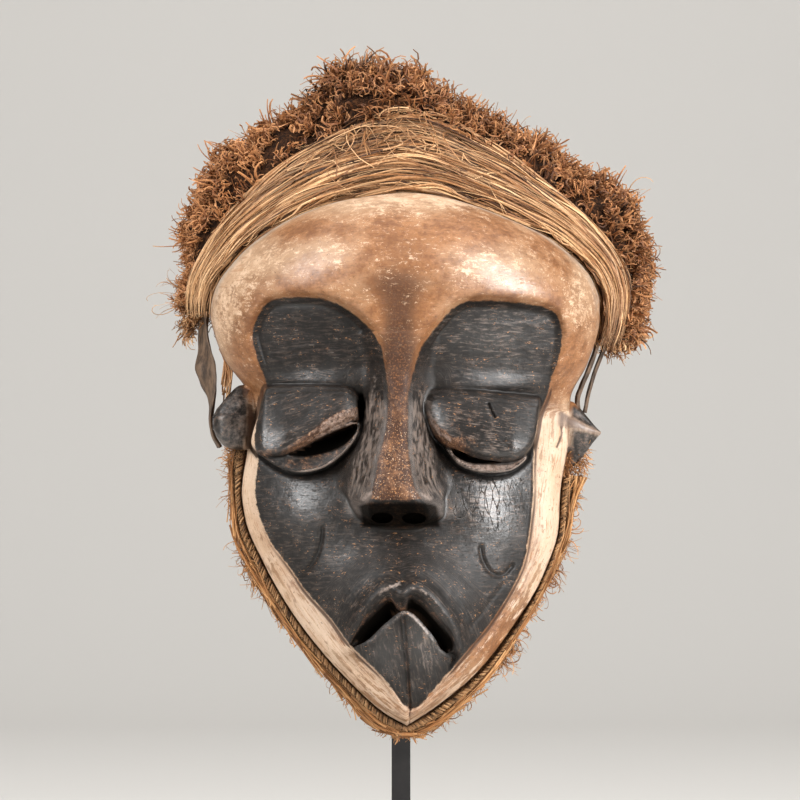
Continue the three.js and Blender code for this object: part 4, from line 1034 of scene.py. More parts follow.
def wood_material():
    s = Shader("carved_wood")
    field, ridge = s.attribute("field"), s.attribute("ridge")
    cloud, mottle, grain = s.noise(26, 3), s.noise(7, 6, 0.65), s.noise(2.2, 5, 0.7)
    speck = s.noise(1.0, 3, 0.6)
    pale = pale_wood(s, cloud, mottle, grain, speck)
    dark = dark_wood(s, mottle, grain, speck)
    shift = s.times(s.centred(s.noise(3, 6, 0.75)), 3.0)
    in_field = s.span(s.math("ADD", field, shift), 0.0, 0.8)
    on_ridge = s.span(s.math("ADD", ridge, s.times(shift, 0.8)), -0.6, 1.0)
    colour = s.mix(in_field, pale, dark)
    low_ridge = s.times(on_ridge, s.span(s.attribute("height"), 200, 172))
    colour = s.mix(low_ridge, colour, nose_wood(s, mottle, grain, speck))
    shade = s.times(s.span(s.attribute("umber"), 0.35, 1.0, 0, 0.75), s.math("SUBTRACT", 1.0, in_field))
    colour = s.mix(shade, colour, s.mix(s.span(speck, 0.5, 0.65), DEEP_BROWN, WARM_BROWN))
    # Darker in the fine creases of the relief: dirt and painted shade.
    crease_dirt_and_shade = s.span(s.attribute("fine"), -0.10, -0.6, 0, 0.85)
    colour = s.mix(crease_dirt_and_shade, colour, s.mix(in_field, DEEP_BROWN, SOOT))
    ear_tone = s.mix(s.span(s.total((grain, 0.6), (mottle, 0.5)), 0.46, 0.78), SOOT, GREY_WEAR_AND_SHEEN)
    ear_tone = s.mix(s.span(s.total((grain, 0.5), (speck, 0.5)), 0.56, 0.66, 0, 0.6), ear_tone, WARM_WEAR)
    colour = s.mix(s.attribute("ear"), colour, ear_tone)
    # The right ear's ridge: a painted highlight.
    colour = s.mix(s.times(s.attribute("ridge_highlight"), s.span(mottle, 0.25, 0.55, 0.5, 0.95)), colour, RIDGE_HIGHLIGHT)
    colour = s.mix(s.attribute("wall"), colour, s.mix(s.span(mottle, 0.4, 0.65), WARM_BROWN, TAN))
    inner = s.attribute("sunken")
    raw = s.mix(s.span(s.noise(6, 4, 0.6, stretch=(0.35, 1, 2.4)), 0.4, 0.65), RAW_WOOD, DEEP_BROWN)
    colour = s.mix(inner, colour, raw)
    cracks = s.span(s.cells(6.0, stretch=(2.2, 1, 0.55), feature="DISTANCE_TO_EDGE"), 0.05, 0.012)
    crazed = s.span(s.total((s.attribute("crazed"), 1.0), (s.centred(grain), 3.4)), 0.45, 0.80)
    cracks = s.times(cracks, s.times(crazed, in_field))
    # Black: painted shade in the openings, pits and grooves, and the cheek's dark cracks.
    black = s.math("MAXIMUM", s.attribute("black"), s.times(cracks, 0.65))
    colour = s.mix(black, colour, SHADE_AND_CRACK_BLACK)

    sheen = s.total((s.attribute("sheen"), 1.0), (s.centred(mottle), 0.5))
    rough = s.span(sheen, 0.15, 0.9, 0.44, 0.25)
    rough = s.total((rough, 1.0), (grain, 0.12), (inner, 0.35), (black, 0.4))
    pebbles = s.times(s.cells(1.9, stretch=(0.7, 1, 1.3)), in_field)
    relief = s.total((grain, 0.45), (s.flow(1.3, 6), 0.35), (s.span(s.flow(0.7, 8), 0.60, 0.68), -0.22),
                     (pebbles, 0.12), (cracks, -0.5))
    normal = s.bump(mottle, 0.28)
    normal = s.bump(relief, 0.34, normal)
    shine = s.times(s.span(sheen, 0.1, 0.9, 0.3, 1.0), s.math("SUBTRACT", 1.0, black, clamp=True))
    s.finish(colour, rough, normal, Specular_IOR_Level=0.6)
    s.link(shine, s.shader.inputs["Specular IOR Level"])
    return s.material


def fibre_material(name, dark, mid, light, tip, roughness):
    """Dry plant fibre: each strand has its own tone, with darker roots and paler ends."""
    s = Shader(name)
    tone, along = s.attribute("tone"), s.attribute("along")
    streak = s.noise(1.2, 3, 0.6)
    value = s.math("ADD", s.times(tone, 0.85), s.times(s.centred(streak), 0.5))
    colour = s.mix(s.span(value, 0.0, 0.5), dark, mid)
    colour = s.mix(s.span(value, 0.5, 1.0), colour, light)
    colour = s.mix(s.times(s.span(along, 0.55, 1.0), 0.45), colour, tip)
    colour = s.mix(s.times(s.span(along, 0.35, 0.0), 0.55), colour, dark)
    normal = s.bump(s.noise(0.5, 2, 0.5), 0.12)
    return s.finish(colour, roughness, normal, Specular_IOR_Level=0.35)


def matted_material(name, dark, light, size=2.0):
    """The matted fibre below the loose strands."""
    s = Shader(name)
    strands = s.noise(size, 4, 0.65, warp=1.5)
    colour = s.mix(s.span(strands, 0.4, 0.66), dark, light)
    normal = s.bump(strands, 1.2)
    return s.finish(colour, 0.9, normal, Specular_IOR_Level=0.2)


def hide_material():
    s = Shader("strap_hide")
    value = s.noise(3.5, 5, 0.65, stretch=(1, 1, 0.4))
    colour = s.mix(s.span(value, 0.35, 0.65), (0.045, 0.028, 0.018), (0.16, 0.10, 0.062))
    normal = s.bump(s.noise(0.9, 4, 0.6), 0.25)
    return s.finish(colour, 0.62, normal, Specular_IOR_Level=0.4)


def steel_material():
    s = Shader("stand_steel")
    value = s.noise(30, 4, 0.6)
    colour = s.mix(s.span(value, 0.35, 0.7), (0.016, 0.015, 0.015), (0.032, 0.029, 0.028))
    rough = s.span(s.noise(3, 4, 0.6), 0.3, 0.7, 0.42, 0.56)
    normal = s.bump(s.noise(0.35, 2, 0.5), 0.05)
    return s.finish(colour, rough, normal, Metallic=0.3, Specular_IOR_Level=0.5)


# Fibres

class Fibres:
    """Collects thin flat strands, each a closed three-sided bar along its own path."""

    def __init__(self, seed):
        self.rng = np.random.default_rng(seed)
        self.points, self.faces, self.tone, self.along = [], [], [], []
        self.count = 0

    def add(self, paths, facing, width, tone, thick=0.35):
        """Strands along paths (strands, points, 3) in mm, each width wide and a share of that thick."""
        strands, k, _ = paths.shape
        tangent = np.gradient(paths, axis=1)
        side = unit(np.cross(tangent, facing))
        up = unit(np.cross(side, tangent))
        half = width[..., None] / 2
        ring = np.stack([paths - side * half, paths + side * half, paths + up * half * 2 * thick], 2)
        first = self.count + 3 * k * np.arange(strands)[:, None, None]
        base = first + 3 * np.arange(k - 1)[None, :, None]
        corner = np.arange(3)[None, None, :]
        after = (corner + 1) % 3
        quads = np.stack([base + corner, base + after, base + after + 3, base + corner + 3], -1)
        ends = first[..., 0] + np.arange(3)[None, :]
        self.points.append(ring.reshape(-1, 3))
        self.faces += quads.reshape(-1, 4).tolist() + ends[:, ::-1].tolist() + (ends + 3 * k - 3).tolist()
        self.tone.append(np.repeat(tone, 3 * k))
        self.along.append(np.tile(np.repeat(np.linspace(0, 1, k), 3), strands))
        self.count += strands * 3 * k

    def add_locks(self, root, normal, length, width, centre, paler=0.0, thick=0.35, per=6, **habit):
        """Locks of strands, each lock with a tone near the centre and perhaps made paler."""
        path, facing, wide = tufts(self.rng, root, normal, length, width, per=per, **habit)
        tone = np.repeat(self.rng.normal(centre, 0.2, len(root)), per)
        tone = np.clip(tone + self.rng.normal(0, 0.16, len(tone)), 0, 1)
        tone = np.clip(tone + np.repeat(np.broadcast_to(paler, len(root)), per), 0, 1)
        self.add(path, facing, wide, tone, thick)

    def build(self, name, material):
        mesh = bpy.data.meshes.new(name)
        mesh.from_pydata(place(*np.vstack(self.points).T).tolist(), [], self.faces)
        thing = linked(name, mesh)
        store(thing, "tone", np.concatenate(self.tone))
        store(thing, "along", np.concatenate(self.along))
        mesh.materials.append(material)
        return thing


def unit(v):
    return v / (np.linalg.norm(v, axis=-1, keepdims=True) + 1e-9)


def tufts(rng, root, normal, length, width, per, spread=0.5, curl=0.35, crowd=1.2, points=5, sag=0.0):
    """Small locks: the strands from one root share a lean and a curl, each with a little of its own."""
    groups, count = len(root), len(root) * per

    def shared(scale, wide):
        own = rng.normal(0, 1, (count, wide))
        return scale * (UNITY * np.repeat(rng.normal(0, 1, (groups, wide)), per, 0) + (1 - UNITY) * own)

    root, normal = np.repeat(root, per, 0), np.repeat(normal, per, 0)
    length, width = (np.repeat(np.broadcast_to(each, groups), per) for each in (length, width))
    offset = rng.normal(0, crowd, (count, 3))
    heading = unit(normal + shared(spread * 1.3, 3) + offset * 0.10)
    axis = unit(shared(1, 3))
    rate = shared(curl * 1.3, 1)
    step = (length * rng.uniform(0.6, 1.2, count))[:, None] / (points - 1)
    p = root + offset
    path = [p]
    for i in range(points - 1):
        heading = unit(heading + np.cross(axis, heading) * rate * step * (0.3 + 3 * i / points))
        heading = unit(heading + np.array([0, 0, -sag]))
        p = p + heading * step
        path.append(p)
    wide = (width * rng.uniform(0.6, 1.4, count))[:, None] * np.linspace(1, 0.6, points)[None, :]
    return np.stack(path, 1), np.repeat(axis[:, None, :], points, 1), wide


# The coiffure, by the angle up from the right side round the middle of the cap's floor

shag_radius = curve(
    (-4, 117), (2, 118), (8, 121), (14, 126), (20, 130), (26, 130), (32, 136), (38, 131), (44, 123),
    (50, 122), (56, 124), (62, 120), (68, 121), (74, 122.5), (80, 126), (86, 133), (92, 140), (98, 138),
    (104, 142), (110, 134), (116, 130), (122, 133), (128, 130), (134, 135), (140, 133), (146, 127),
    (152, 129), (158, 123), (164, 119), (170, 121), (176, 113))
band_high = curve(
    (0, 11), (20, 17), (45, 23), (70, 31), (90, 38), (110, 33), (135, 23), (160, 14), (180, 9))
cap_share = curve(
    (CAP_BACK, 0.08), (-129, 0.28), (-121, 0.5), (-108, 0.73), (-92, 0.88), (-74, 0.97), (CAP_WIDEST, 1))
cap_rise = curve((CAP_WIDEST, 1), (-38, 0.9), (-24, 0.62), (-14.5, 0.1))


def wood_radius(angle):
    turn = np.deg2rad(angle)
    inner, outer = np.zeros(np.shape(angle)), np.full(np.shape(angle), 120.0)
    for _ in range(26):
        r = (inner + outer) / 2
        x, z = CAP_MIDDLE + r * np.cos(turn), CAP_FLOOR + r * np.sin(turn)
        within = (z < FACE_TOP) & (x > left_edge(z)) & (x < right_edge(z))
        inner, outer = np.where(within, r, inner), np.where(within, outer, r)
    return inner


def polar(angle, radius, depth):
    angle, radius, depth = np.broadcast_arrays(np.deg2rad(angle), radius, depth)
    return np.stack([CAP_MIDDLE + radius * np.cos(angle), depth, CAP_FLOOR + radius * np.sin(angle)], -1)


def cap_point(angle, depth, sink=0.0):
    """A place on the coiffure behind the band, sunk below the reach of its tufts."""
    full = shag_radius(angle) * FAR_SIDE - sink
    lumps = 2.2 * ripple(angle / 9, depth / 13, 61)
    meet = wood_radius(angle) + band_high(angle) - 2
    front = meet + (full + lumps - meet) * cap_rise(depth)
    behind = (full + lumps) * cap_share(depth)
    return polar(angle, np.where(depth > CAP_WIDEST, front, behind), depth)


def cap_lining(angle, depth):
    """The inner side of the cap's net, over the same angles and depths as its outer side."""
    full = shag_radius(angle) - CAP_THICK - 6
    opening = wood_radius(angle) + 1 + np.maximum(band_high(angle) - BAND_THICK, 0)
    front = opening + (full - opening) * ease(depth, -14, CAP_WIDEST)
    share = np.interp(depth, [CAP_BACK, -121, -108, -92, -74, CAP_WIDEST], [0.05, 0.36, 0.6, 0.8, 0.95, 1])
    inset = np.interp(depth, [CAP_BACK, -110, -80], [CAP_THICK, 8, 0])
    return polar(angle, np.where(depth > CAP_WIDEST, front, full * share), depth + inset)


def outward(where, u, v, du=0.4, dv=0.4):
    """Places on a surface and the unit normals there that point away from the head."""
    p = where(u, v)
    normal = unit(np.cross(where(u + du, v) - p, where(u, v + dv) - p))
    away = p - np.array([CAP_MIDDLE, -50, CAP_FLOOR])
    return p, normal * np.sign((normal * away).sum(-1, keepdims=True))


def wood_line(angle):
    """Radius and depth of the wood's edge, just outside it."""
    wood = wood_radius(angle) + 0.6
    return wood, rim_depth(np.minimum(CAP_FLOOR + wood * np.sin(np.deg2rad(angle)), FACE_TOP))


def band_point(angle, share):
    """A place on the front of the combed band: share runs from the wood's edge to the pile."""
    high = band_high(angle)
    wood, front = wood_line(angle)
    front = front + 1
    swell = np.interp(share, [0, 0.1, 0.6, 1.0], [0, 1, 0, 0])
    depth = front - 1 + 2 * swell - 9 * ease(share, 0.05, 0.7) - (front + 14 - 10) * ease(share, 0.5, 1.05)
    return polar(angle, wood + high * share, depth)


def band_lining(angle, share):
    """The underside of the band, from the wood's edge back to the cap's net."""
    wood, front = wood_line(angle)
    rise = np.maximum(band_high(angle) - BAND_THICK, 0) * ease(share, 0.35, 1)
    depth = np.interp(share, [0, 0.4, 1.1], [0, 1, 1]) * (BAND_BACK - front) + front
    return polar(angle, wood + rise, depth)


def walled(name, outer, inner, u, v, material):
    """A closed body between two surfaces over the same two parameters."""
    uu, vv = np.meshgrid(u, v, indexing="ij")
    sheets = [outer(uu, vv).reshape(-1, 3), inner(uu, vv).reshape(-1, 3)]
    rows, wide = len(u), len(v)
    quads = quads_between(rows, wide, closed=False)
    under = rows * wide
    rim = np.concatenate([
        np.arange(wide), np.arange(1, rows) * wide + wide - 1,
        (rows - 1) * wide + np.arange(wide - 2, -1, -1), np.arange(rows - 2, -1, -1) * wide])
    edge = np.stack([rim[:-1], rim[1:], rim[1:] + under, rim[:-1] + under], -1)
    thing = solid(name, np.vstack(sheets), np.vstack([quads, quads[:, ::-1] + under, edge]))
    thing.data.materials.append(material)
    return thing


def combed_band(seed, count):
    """Flat strands along the wood's edge from one side of the head to the other, many in ropes."""
    fibres = Fibres(seed)
    rng = fibres.rng
    k, ropes = 17, 30
    along = np.linspace(0, 1, k)[None, :]
    middle = rng.uniform(0, COIFFURE_TO, count)
    reach = rng.uniform(12, 46, count)
    start = np.maximum(middle - reach, rng.uniform(-3, 3, count))
    end = np.minimum(middle + reach, COIFFURE_TO + rng.uniform(-5, 2, count))
    angle = start[:, None] + (end - start)[:, None] * along
    rope = rng.integers(0, ropes, count)
    centre = (np.arange(ropes) + rng.uniform(0.2, 0.8, ropes)) / ropes
    phase, wave = rng.uniform(0, 6, ropes), rng.uniform(9, 26, ropes)
    in_rope = rng.random((count, 1)) < 0.72
    roped = centre[rope][:, None] + 0.035 * np.sin(angle / wave[rope][:, None] + phase[rope][:, None])
    roped = roped + rng.normal(0, 0.010, (count, 1)) + rng.normal(0, 0.012, (count, 1)) * (2 * along - 1)
    free = rng.uniform(0, 1.05, (count, 1)) + rng.normal(0, 0.10, (count, 1)) * (2 * along - 1)
    share = np.where(in_rope, roped * 1.04, free)
    stray = (rng.random((count, 1)) < 0.10) * rng.normal(0, 0.35, (count, 1)) * (2 * along - 1) ** 3
    share = np.clip(share + stray, -0.02, 1.15)
    layer = rng.uniform(0, 1, (count, 1))
    p, normal = outward(band_point, angle, share, 0.3, 0.01)
    rise = np.sin(angle * 0.22 + rng.uniform(0, 6, (count, 1)))
    lift = 0.1 + 2.6 * layer * np.where(in_rope, 1, 0.5) + 0.6 * rise
    p = p + normal * lift[..., None]
    width = rng.choice([0.35, 0.6, 0.95, 1.5], count, p=[0.36, 0.34, 0.2, 0.1])
    taper = np.minimum(1, 5 * np.minimum(along, 1 - along) + 0.25)
    sides = ease(np.abs(middle - 92), 18, 60)
    # Strands that lie deeper in the band are painted darker, as shade.
    tone = np.clip(rng.normal(0.25, 0.28, count) + 0.5 * (layer[:, 0] - 0.5) + 0.36 * sides, 0, 1)
    fibres.add(p, normal + rng.normal(0, 0.4, (count, 1, 3)), width[:, None] * taper, tone, 0.35)
    return fibres


def loose_loops(seed):
    """Strands that have come loose over the middle of the band and hang or stand off it."""
    fibres = Fibres(seed)
    rng = fibres.rng
    count, k = 64, 14
    along = np.linspace(0, 1, k)[None, :]
    angle = rng.normal(97, 15, (count, 1)) + rng.normal(0, 8, (count, 1)) * along
    angle = angle + rng.normal(0, 3.5, (count, 1)) * np.sin(np.pi * along * rng.uniform(0.8, 2.2, (count, 1)))
    share = rng.uniform(0.5, 1.1, (count, 1)) + rng.normal(0, 0.3, (count, 1)) * (along - 0.3)
    share = share + 0.06 * np.sin(5 * along + rng.uniform(0, 6, (count, 1)))
    p, normal = outward(band_point, angle, np.clip(share, 0.02, 1.15), 0.3, 0.01)
    lift = 2.5 + rng.uniform(0, 4, (count, 1)) * np.sin(np.pi * along)
    p = p + normal * lift[..., None]
    width = rng.uniform(0.3, 0.75, (count, 1)) * np.ones((1, k))
    fibres.add(p, normal + rng.normal(0, 0.6, (count, 1, 3)), width, rng.uniform(0.35, 1, count), 0.5)
    return fibres


def pile(seed, clusters, depth_low, depth_high, length, width):
    """Locks over the cap between two depths; those of the crest are longer."""
    fibres = Fibres(seed)
    rng = fibres.rng
    angle = rng.uniform(0.5, COIFFURE_TO, clusters)
    depth = rng.uniform(depth_low, depth_high, clusters)
    p, normal = outward(lambda a, d: cap_point(a, d, PILE_ROOT), angle, depth)
    crest = 1 + 0.55 * hump(angle - 95, 13)
    frizz = rng.uniform(0.7, 1.3, clusters)
    felt = ease(angle, 142, 158)
    broad = width * rng.uniform(0.7, 1.3, clusters) * (1 - 0.35 * felt)
    fibres.add_locks(p, normal, length * crest * frizz * (1 - 0.4 * felt), broad, 0.52,
                     0.26 * ease(angle, 108, 128) + 0.14 * felt, 0.4,
                     per=5, points=7, curl=0.42, crowd=0.8, sag=0.03)
    return fibres


def hanging_tangles(seed):
    """Knotted curls where the coiffure ends beside the face, lower on the right."""
    fibres = Fibres(seed)
    rng = fibres.rng
    groups = [
        ((109, -34, 200), (9, 12, 7), 90, 9, 0.25), ((112, -50, 208), (9, 12, 10), 80, 9, 0.2),
        ((-102, -30, 212), (7, 10, 5), 50, 8, 0.2), ((-107, -34, 204), (4, 8, 6), 26, 8, 0.3),
        ((103, -12, 205), (4, 6, 7), 30, 8, 0.3)]
    for centre, size, clusters, length, sag in groups:
        root = np.array(centre) + rng.normal(0, 0.5, (clusters, 3)) * np.array(size)
        away = unit(root - np.array([0, -50, 215.0]))
        fibres.add_locks(root, away, length, 0.8, 0.6, spread=0.9, curl=0.45, sag=sag)
    along, count = np.linspace(0, 1, 8)[None, :], 26
    start = np.array([-89.5, -9, 193]) + rng.normal(0, 1, (count, 3)) * np.array([1.6, 2, 2])
    end = np.array([-89, -8, 172]) + rng.normal(0, 1, (count, 3)) * np.array([1.3, 2, 3])
    path = start[:, None] + (end - start)[:, None] * along[..., None]
    path[..., 0] += (1.2 * np.sin(3 * along) + rng.normal(0, 0.5, (count, 1)) * np.sin(6 * along))
    facing = np.broadcast_to([0, 1.0, 0], path.shape)
    fibres.add(path, facing, 0.8 * np.ones((count, 8)), rng.uniform(0.3, 1, count))
    return fibres


def stray_wisps(seed):
    """Single long hairs that stand off both sides of the coiffure."""
    fibres = Fibres(seed)
    rng = fibres.rng
    angle = np.concatenate([rng.uniform(164, 172, 14), rng.uniform(4, 34, 12), rng.uniform(40, 160, 26)])
    depth = rng.uniform(-60, -20, len(angle))
    p, normal = outward(lambda a, d: cap_point(a, d, 3), angle, depth)
    length = rng.uniform(9, 19, len(angle)) * (1 + 0.15 * ease(angle, 160, 166))
    path, facing, wide = tufts(rng, p, normal, length, 0.45, 1, spread=0.4, curl=0.12, points=9, sag=0.05)
    fibres.add(path, facing, wide, rng.uniform(0.4, 1, len(angle)))
    return fibres


# The binding round the jaw, by the share of its way from the left ear under the chin to the right ear

binding_gap = curve((0, 0.4), (0.55, 0.4), (0.68, 1.2), (0.78, 1.6), (0.9, 0.4), (1, 0.4))
binding_thick = curve(
    (0, 8), (0.05, 5), (0.1, 6.3), (0.2, 5.7), (0.3, 5.3), (0.4, 7), (0.5, 5), (0.6, 6.6), (0.7, 4.6),
    (0.8, 2.6), (0.88, 3), (0.95, 5.3), (1, 8))


def jaw_edge(share):
    """The wood's edge at a share of the binding's way, as x and z."""
    left = share < 0.5
    fall = np.cos(np.pi * np.minimum(share, 1 - share))
    top = np.where(left, 138, 128) - CHIN_TIP
    z = CHIN_TIP + top * (1 - np.sqrt(np.maximum(1 - fall ** 2, 0)))
    return np.where(left, left_edge(z), right_edge(z)), z


def jaw_point(share, away, back):
    """A place beside the jaw: so far away from the wood's edge, and so far behind it."""
    share, away, back = np.broadcast_arrays(share, away, back)
    inner = np.clip(share, JAW_STEP, 1 - JAW_STEP)
    x, z = jaw_edge(inner)
    x0, z0 = jaw_edge(inner - JAW_STEP)
    x1, z1 = jaw_edge(inner + JAW_STEP)
    out = unit(np.stack([z1 - z0, x0 - x1], -1))
    rise = (share - inner) * JAW_LENGTH
    along = unit(np.stack([x1 - x0, z1 - z0], -1))
    x = x + out[..., 0] * away + along[..., 0] * rise
    z = z + out[..., 1] * away + along[..., 1] * rise
    return np.stack([x, rim_depth(z) - back, z], -1)


def binding_outer(share, v):
    """Across the binding's front and outer side."""
    gap, thick = binding_gap(share), binding_thick(share)
    away = gap + thick * np.interp(v, [0, 0.15, 0.5, 0.75, 1], [0.02, 0.10, 0.5, 0.8, 0.7])
    beads = 0.3 * np.abs(np.sin(share * 420)) * hump(v - 0.3, 0.22)
    back = np.interp(v, [0, 0.12, 0.4, 0.75, 1], [3.2, 1.1, 0.9, 3.6, 15]) - beads
    return jaw_point(share, away, back)


def binding_inner(share, v):
    """Across the binding's side against the wood."""
    away = np.interp(v, [0, 1], [0.3, 0.6]) + binding_gap(share) * (1 - v) * 0.5
    inward = 2.2 * np.interp(v, [0, 1], [0.1, 0.8])
    return jaw_point(share, away - inward, np.interp(v, [0, 1], [4.5, 17]))


def binding_fringe(seed):
    """Golden fibre along the binding's outer edge, with its frayed ends."""
    fibres = Fibres(seed)
    rng = fibres.rng
    count, k = 900, 9
    along = np.linspace(0, 1, k)[None, :]
    start = rng.uniform(-0.01, 0.99, (count, 1))
    end = np.minimum(start + rng.uniform(0.03, 0.14, (count, 1)), 1.005)
    share = start + (end - start) * along
    v = rng.uniform(0.42, 1.2, (count, 1)) + rng.normal(0, 0.16, (count, 1)) * (2 * along - 1)
    flare = (rng.random((count, 1)) < 0.25) * rng.uniform(0, 3.5, (count, 1)) * along ** 3
    away = binding_gap(share) + binding_thick(share) * v + flare
    back = 2.5 + rng.uniform(-1.0, 9, (count, 1)) + rng.normal(0, 1.2, (count, 1)) * along
    path = jaw_point(share, away, back)
    facing = np.array([0, 1.0, 0]) + rng.normal(0, 0.6, (count, 1, 3))
    width = rng.choice([0.4, 0.7, 1.1], (count, 1), p=[0.4, 0.4, 0.2]) * np.ones((1, k))
    fibres.add(path, facing, width, np.clip(rng.normal(0.55, 0.25, count), 0, 1))
    for low, high, clusters, length in (
            (0.0, 0.5, 150, 4.5), (0.5, 1.0, 150, 4.5), (-0.03, 0.02, 60, 6), (0.965, 1.05, 90, 6),
            (0.10, 0.16, 36, 11), (0.02, 0.05, 14, 9), (0.74, 0.80, 26, 12), (0.84, 0.93, 30, 11),
            (0.62, 0.70, 16, 9), (0.30, 0.34, 8, 8)):
        where = rng.uniform(low, high, clusters)
        root = jaw_point(where, binding_gap(where) + binding_thick(where) * rng.uniform(0.5, 1, clusters),
                         rng.uniform(4, 12, clusters))
        out = unit(jaw_point(where, 12, 8) - jaw_point(where, 2, 8))
        fibres.add_locks(root, out, length, 0.5, 0.6, per=3, spread=0.7, curl=0.3, points=6, sag=0.08)
    root = np.array([82.5, 3, 137.5]) + rng.normal(0, 1, (40, 3)) * np.array([1.3, 2, 4])
    fibres.add_locks(root, np.broadcast_to([-0.15, 0.2, -1.0], root.shape), 9, 0.8, 0.5,
                     per=3, spread=0.25, curl=0.15, points=6)
    return fibres


def binding_stitches(seed):
    """Short slanting stitches across the binding's front."""
    fibres = Fibres(seed)
    rng = fibres.rng
    count, k = 300, 5
    along = np.linspace(0, 1, k)[None, :]
    share = np.linspace(0.005, 0.995, count)[:, None] + 0.006 * along + rng.normal(0, 0.0008, (count, 1))
    v = 0.12 + 0.40 * along + rng.normal(0, 0.03, (count, 1))
    path = binding_outer(share, v) + np.array([0, 0.35, 0]) * np.sin(np.pi * along)[..., None]
    width = rng.uniform(0.6, 1.0, (count, 1)) * np.ones((1, k))
    facing = np.broadcast_to(np.array([0, 1.0, 0]), path.shape)
    fibres.add(path, facing, width, np.clip(rng.normal(0.5, 0.25, count), 0, 1), 0.45)
    return fibres


# The straps: each place has x, depth, z, then how far the edges lie from the middle line to the right
# and towards the viewer

LEFT_STRAP = [
    (-100.5, -22, 210.5, 2.2, 7.5), (-100.7, -20, 201.5, 2.4, 7.5), (-99.5, -17, 191.5, 3.6, 7),
    (-99, -14, 182.5, 5.5, 5), (-97.3, -12, 174.5, 4.2, 6), (-96, -10, 166.5, 1.6, 7.5),
    (-96.6, -7, 157, 0.6, 8), (-95.3, -6, 149, 0.6, 8), (-92, -6, 142.5, 0.8, 7)]
RIGHT_FRONT_STRAP = [
    (100, -13, 195.5, 0.3, 3.4), (96.5, -13, 185, 0.3, 3.4), (92, -13, 174, 0.3, 3.4),
    (89.5, -13, 166, 0.3, 3.4), (89.8, -13, 161, 0.3, 3.4)]
RIGHT_BACK_STRAP = [
    (104.5, -22, 195.5, 0.2, 3.4), (98.5, -21, 180, 0.2, 3.4), (95, -19, 168, 0.2, 3.4),
    (93.5, -18, 160, 0.2, 3.4)]


def strap(name, route, thick, material, seed):
    """A strip of hide, a little cupped and uneven at its edges."""
    rows = rounded_places(route, 8)
    middle, half = rows[:, :3], np.stack([rows[:, 3], rows[:, 4], 0 * rows[:, 3]], -1)
    along = unit(np.gradient(middle, axis=0))
    off = unit(np.cross(along, half))
    s = np.arange(len(rows))
    ring = []
    for across, side in [(a, 1) for a in np.linspace(-1, 1, 7)] + [(a, -1) for a in np.linspace(1, -1, 7)]:
        ragged = 1 + 0.06 * ripple(s / 5, s * 0 + 9 * np.sign(across), seed)
        cup = 0.9 * (1 - across ** 2) + 0.25 * ripple(s / 4, s * 0 + across * 2, seed + 1)
        round_off = np.sqrt(max(1 - abs(across) ** 6, 0.04))
        ring.append(middle + half * (across * ragged)[:, None]
                    + off * (cup - 0.5 + side * thick / 2 * round_off)[:, None])
    grid = np.stack(ring, 1)
    count = grid.shape[1]
    last = (len(rows) - 1) * count
    ends = np.array([(k, k + 1, count - 2 - k, count - 1 - k) for k in range(count // 2 - 1)])
    thing = solid(name, grid.reshape(-1, 3), np.vstack([quads_between(len(rows), count), ends, ends + last]))
    thing.data.materials.append(material)
    return thing


def rounded_places(route, steps):
    """A smooth chain of rows through a few rows of numbers."""
    p = np.array(route, float)
    at = np.arange(len(p))
    fine = np.linspace(0, len(p) - 1, steps * (len(p) - 1) + 1)
    return np.stack([curve(*zip(at, column))(fine) for column in p.T], -1)


# Building the pieces

def dress(thing, slot, *nodes):
    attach(thing, "root")
    if nodes:
        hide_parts(*nodes)


wood = carved_face()
paint_face(wood)
wood.data.materials.clear()
wood.data.materials.append(wood_material())
dress(wood, "carved_wood", "mask_face")

BAND_FIBRE = fibre_material("band_raffia", (0.045, 0.016, 0.006), (0.32, 0.140, 0.050), (0.80, 0.50, 0.26),
                            (0.72, 0.44, 0.22), 0.5)
CAP_FIBRE = fibre_material("cap_raffia", (0.024, 0.008, 0.003), (0.22, 0.080, 0.027), (0.58, 0.265, 0.105),
                           (0.66, 0.32, 0.13), 0.55)
FRINGE_FIBRE = fibre_material("fringe_raffia", (0.10, 0.040, 0.014), (0.40, 0.175, 0.060),
                              (0.66, 0.36, 0.15), (0.66, 0.38, 0.17), 0.6)
STITCH_FIBRE = fibre_material("stitching", (0.045, 0.022, 0.010), (0.30, 0.155, 0.065), (0.62, 0.37, 0.18),
                              (0.55, 0.33, 0.16), 0.65)
# The matted cores of cap and band are painted very dark, as the shade in the gaps between their strands.
MATTED_CAP = matted_material("matted_cap", (0.012, 0.0045, 0.0018), (0.085, 0.032, 0.011))
MATTED_BAND = matted_material("matted_band", (0.016, 0.006, 0.0025), (0.085, 0.034, 0.012))
BINDING = matted_material("binding_fibre", (0.030, 0.015, 0.007), (0.34, 0.18, 0.080), 1.4)
HIDE = hide_material()
STEEL = steel_material()

dress(walled("band_core", band_point, band_lining, np.linspace(0, COIFFURE_TO, 150),
             np.linspace(0, 1.1, 22), MATTED_BAND), "band_raffia", "raffia_band")
dress(combed_band(41, 1400).build("combed_band", BAND_FIBRE), "band_raffia")
dress(loose_loops(42).build("loose_loops", BAND_FIBRE), "band_raffia")

dress(walled("cap_core", lambda a, d: cap_point(a, d, 8), cap_lining, np.linspace(0, COIFFURE_TO, 130),
             np.linspace(-14.5, CAP_BACK, 70), MATTED_CAP), "cap_raffia", "raffia_cap")
dress(pile(51, 825, -44, -14, 10, 1.05).build("front_pile", CAP_FIBRE), "cap_raffia")
dress(pile(52, 765, -66, -38, 11, 1.15).build("crown_pile", CAP_FIBRE), "cap_raffia")
dress(pile(53, 725, -130, -62, 12, 1.45).build("back_pile", CAP_FIBRE), "cap_raffia")
dress(hanging_tangles(54).build("hanging_tangles", BAND_FIBRE), "cap_raffia")
dress(stray_wisps(55).build("stray_wisps", BAND_FIBRE), "cap_raffia")

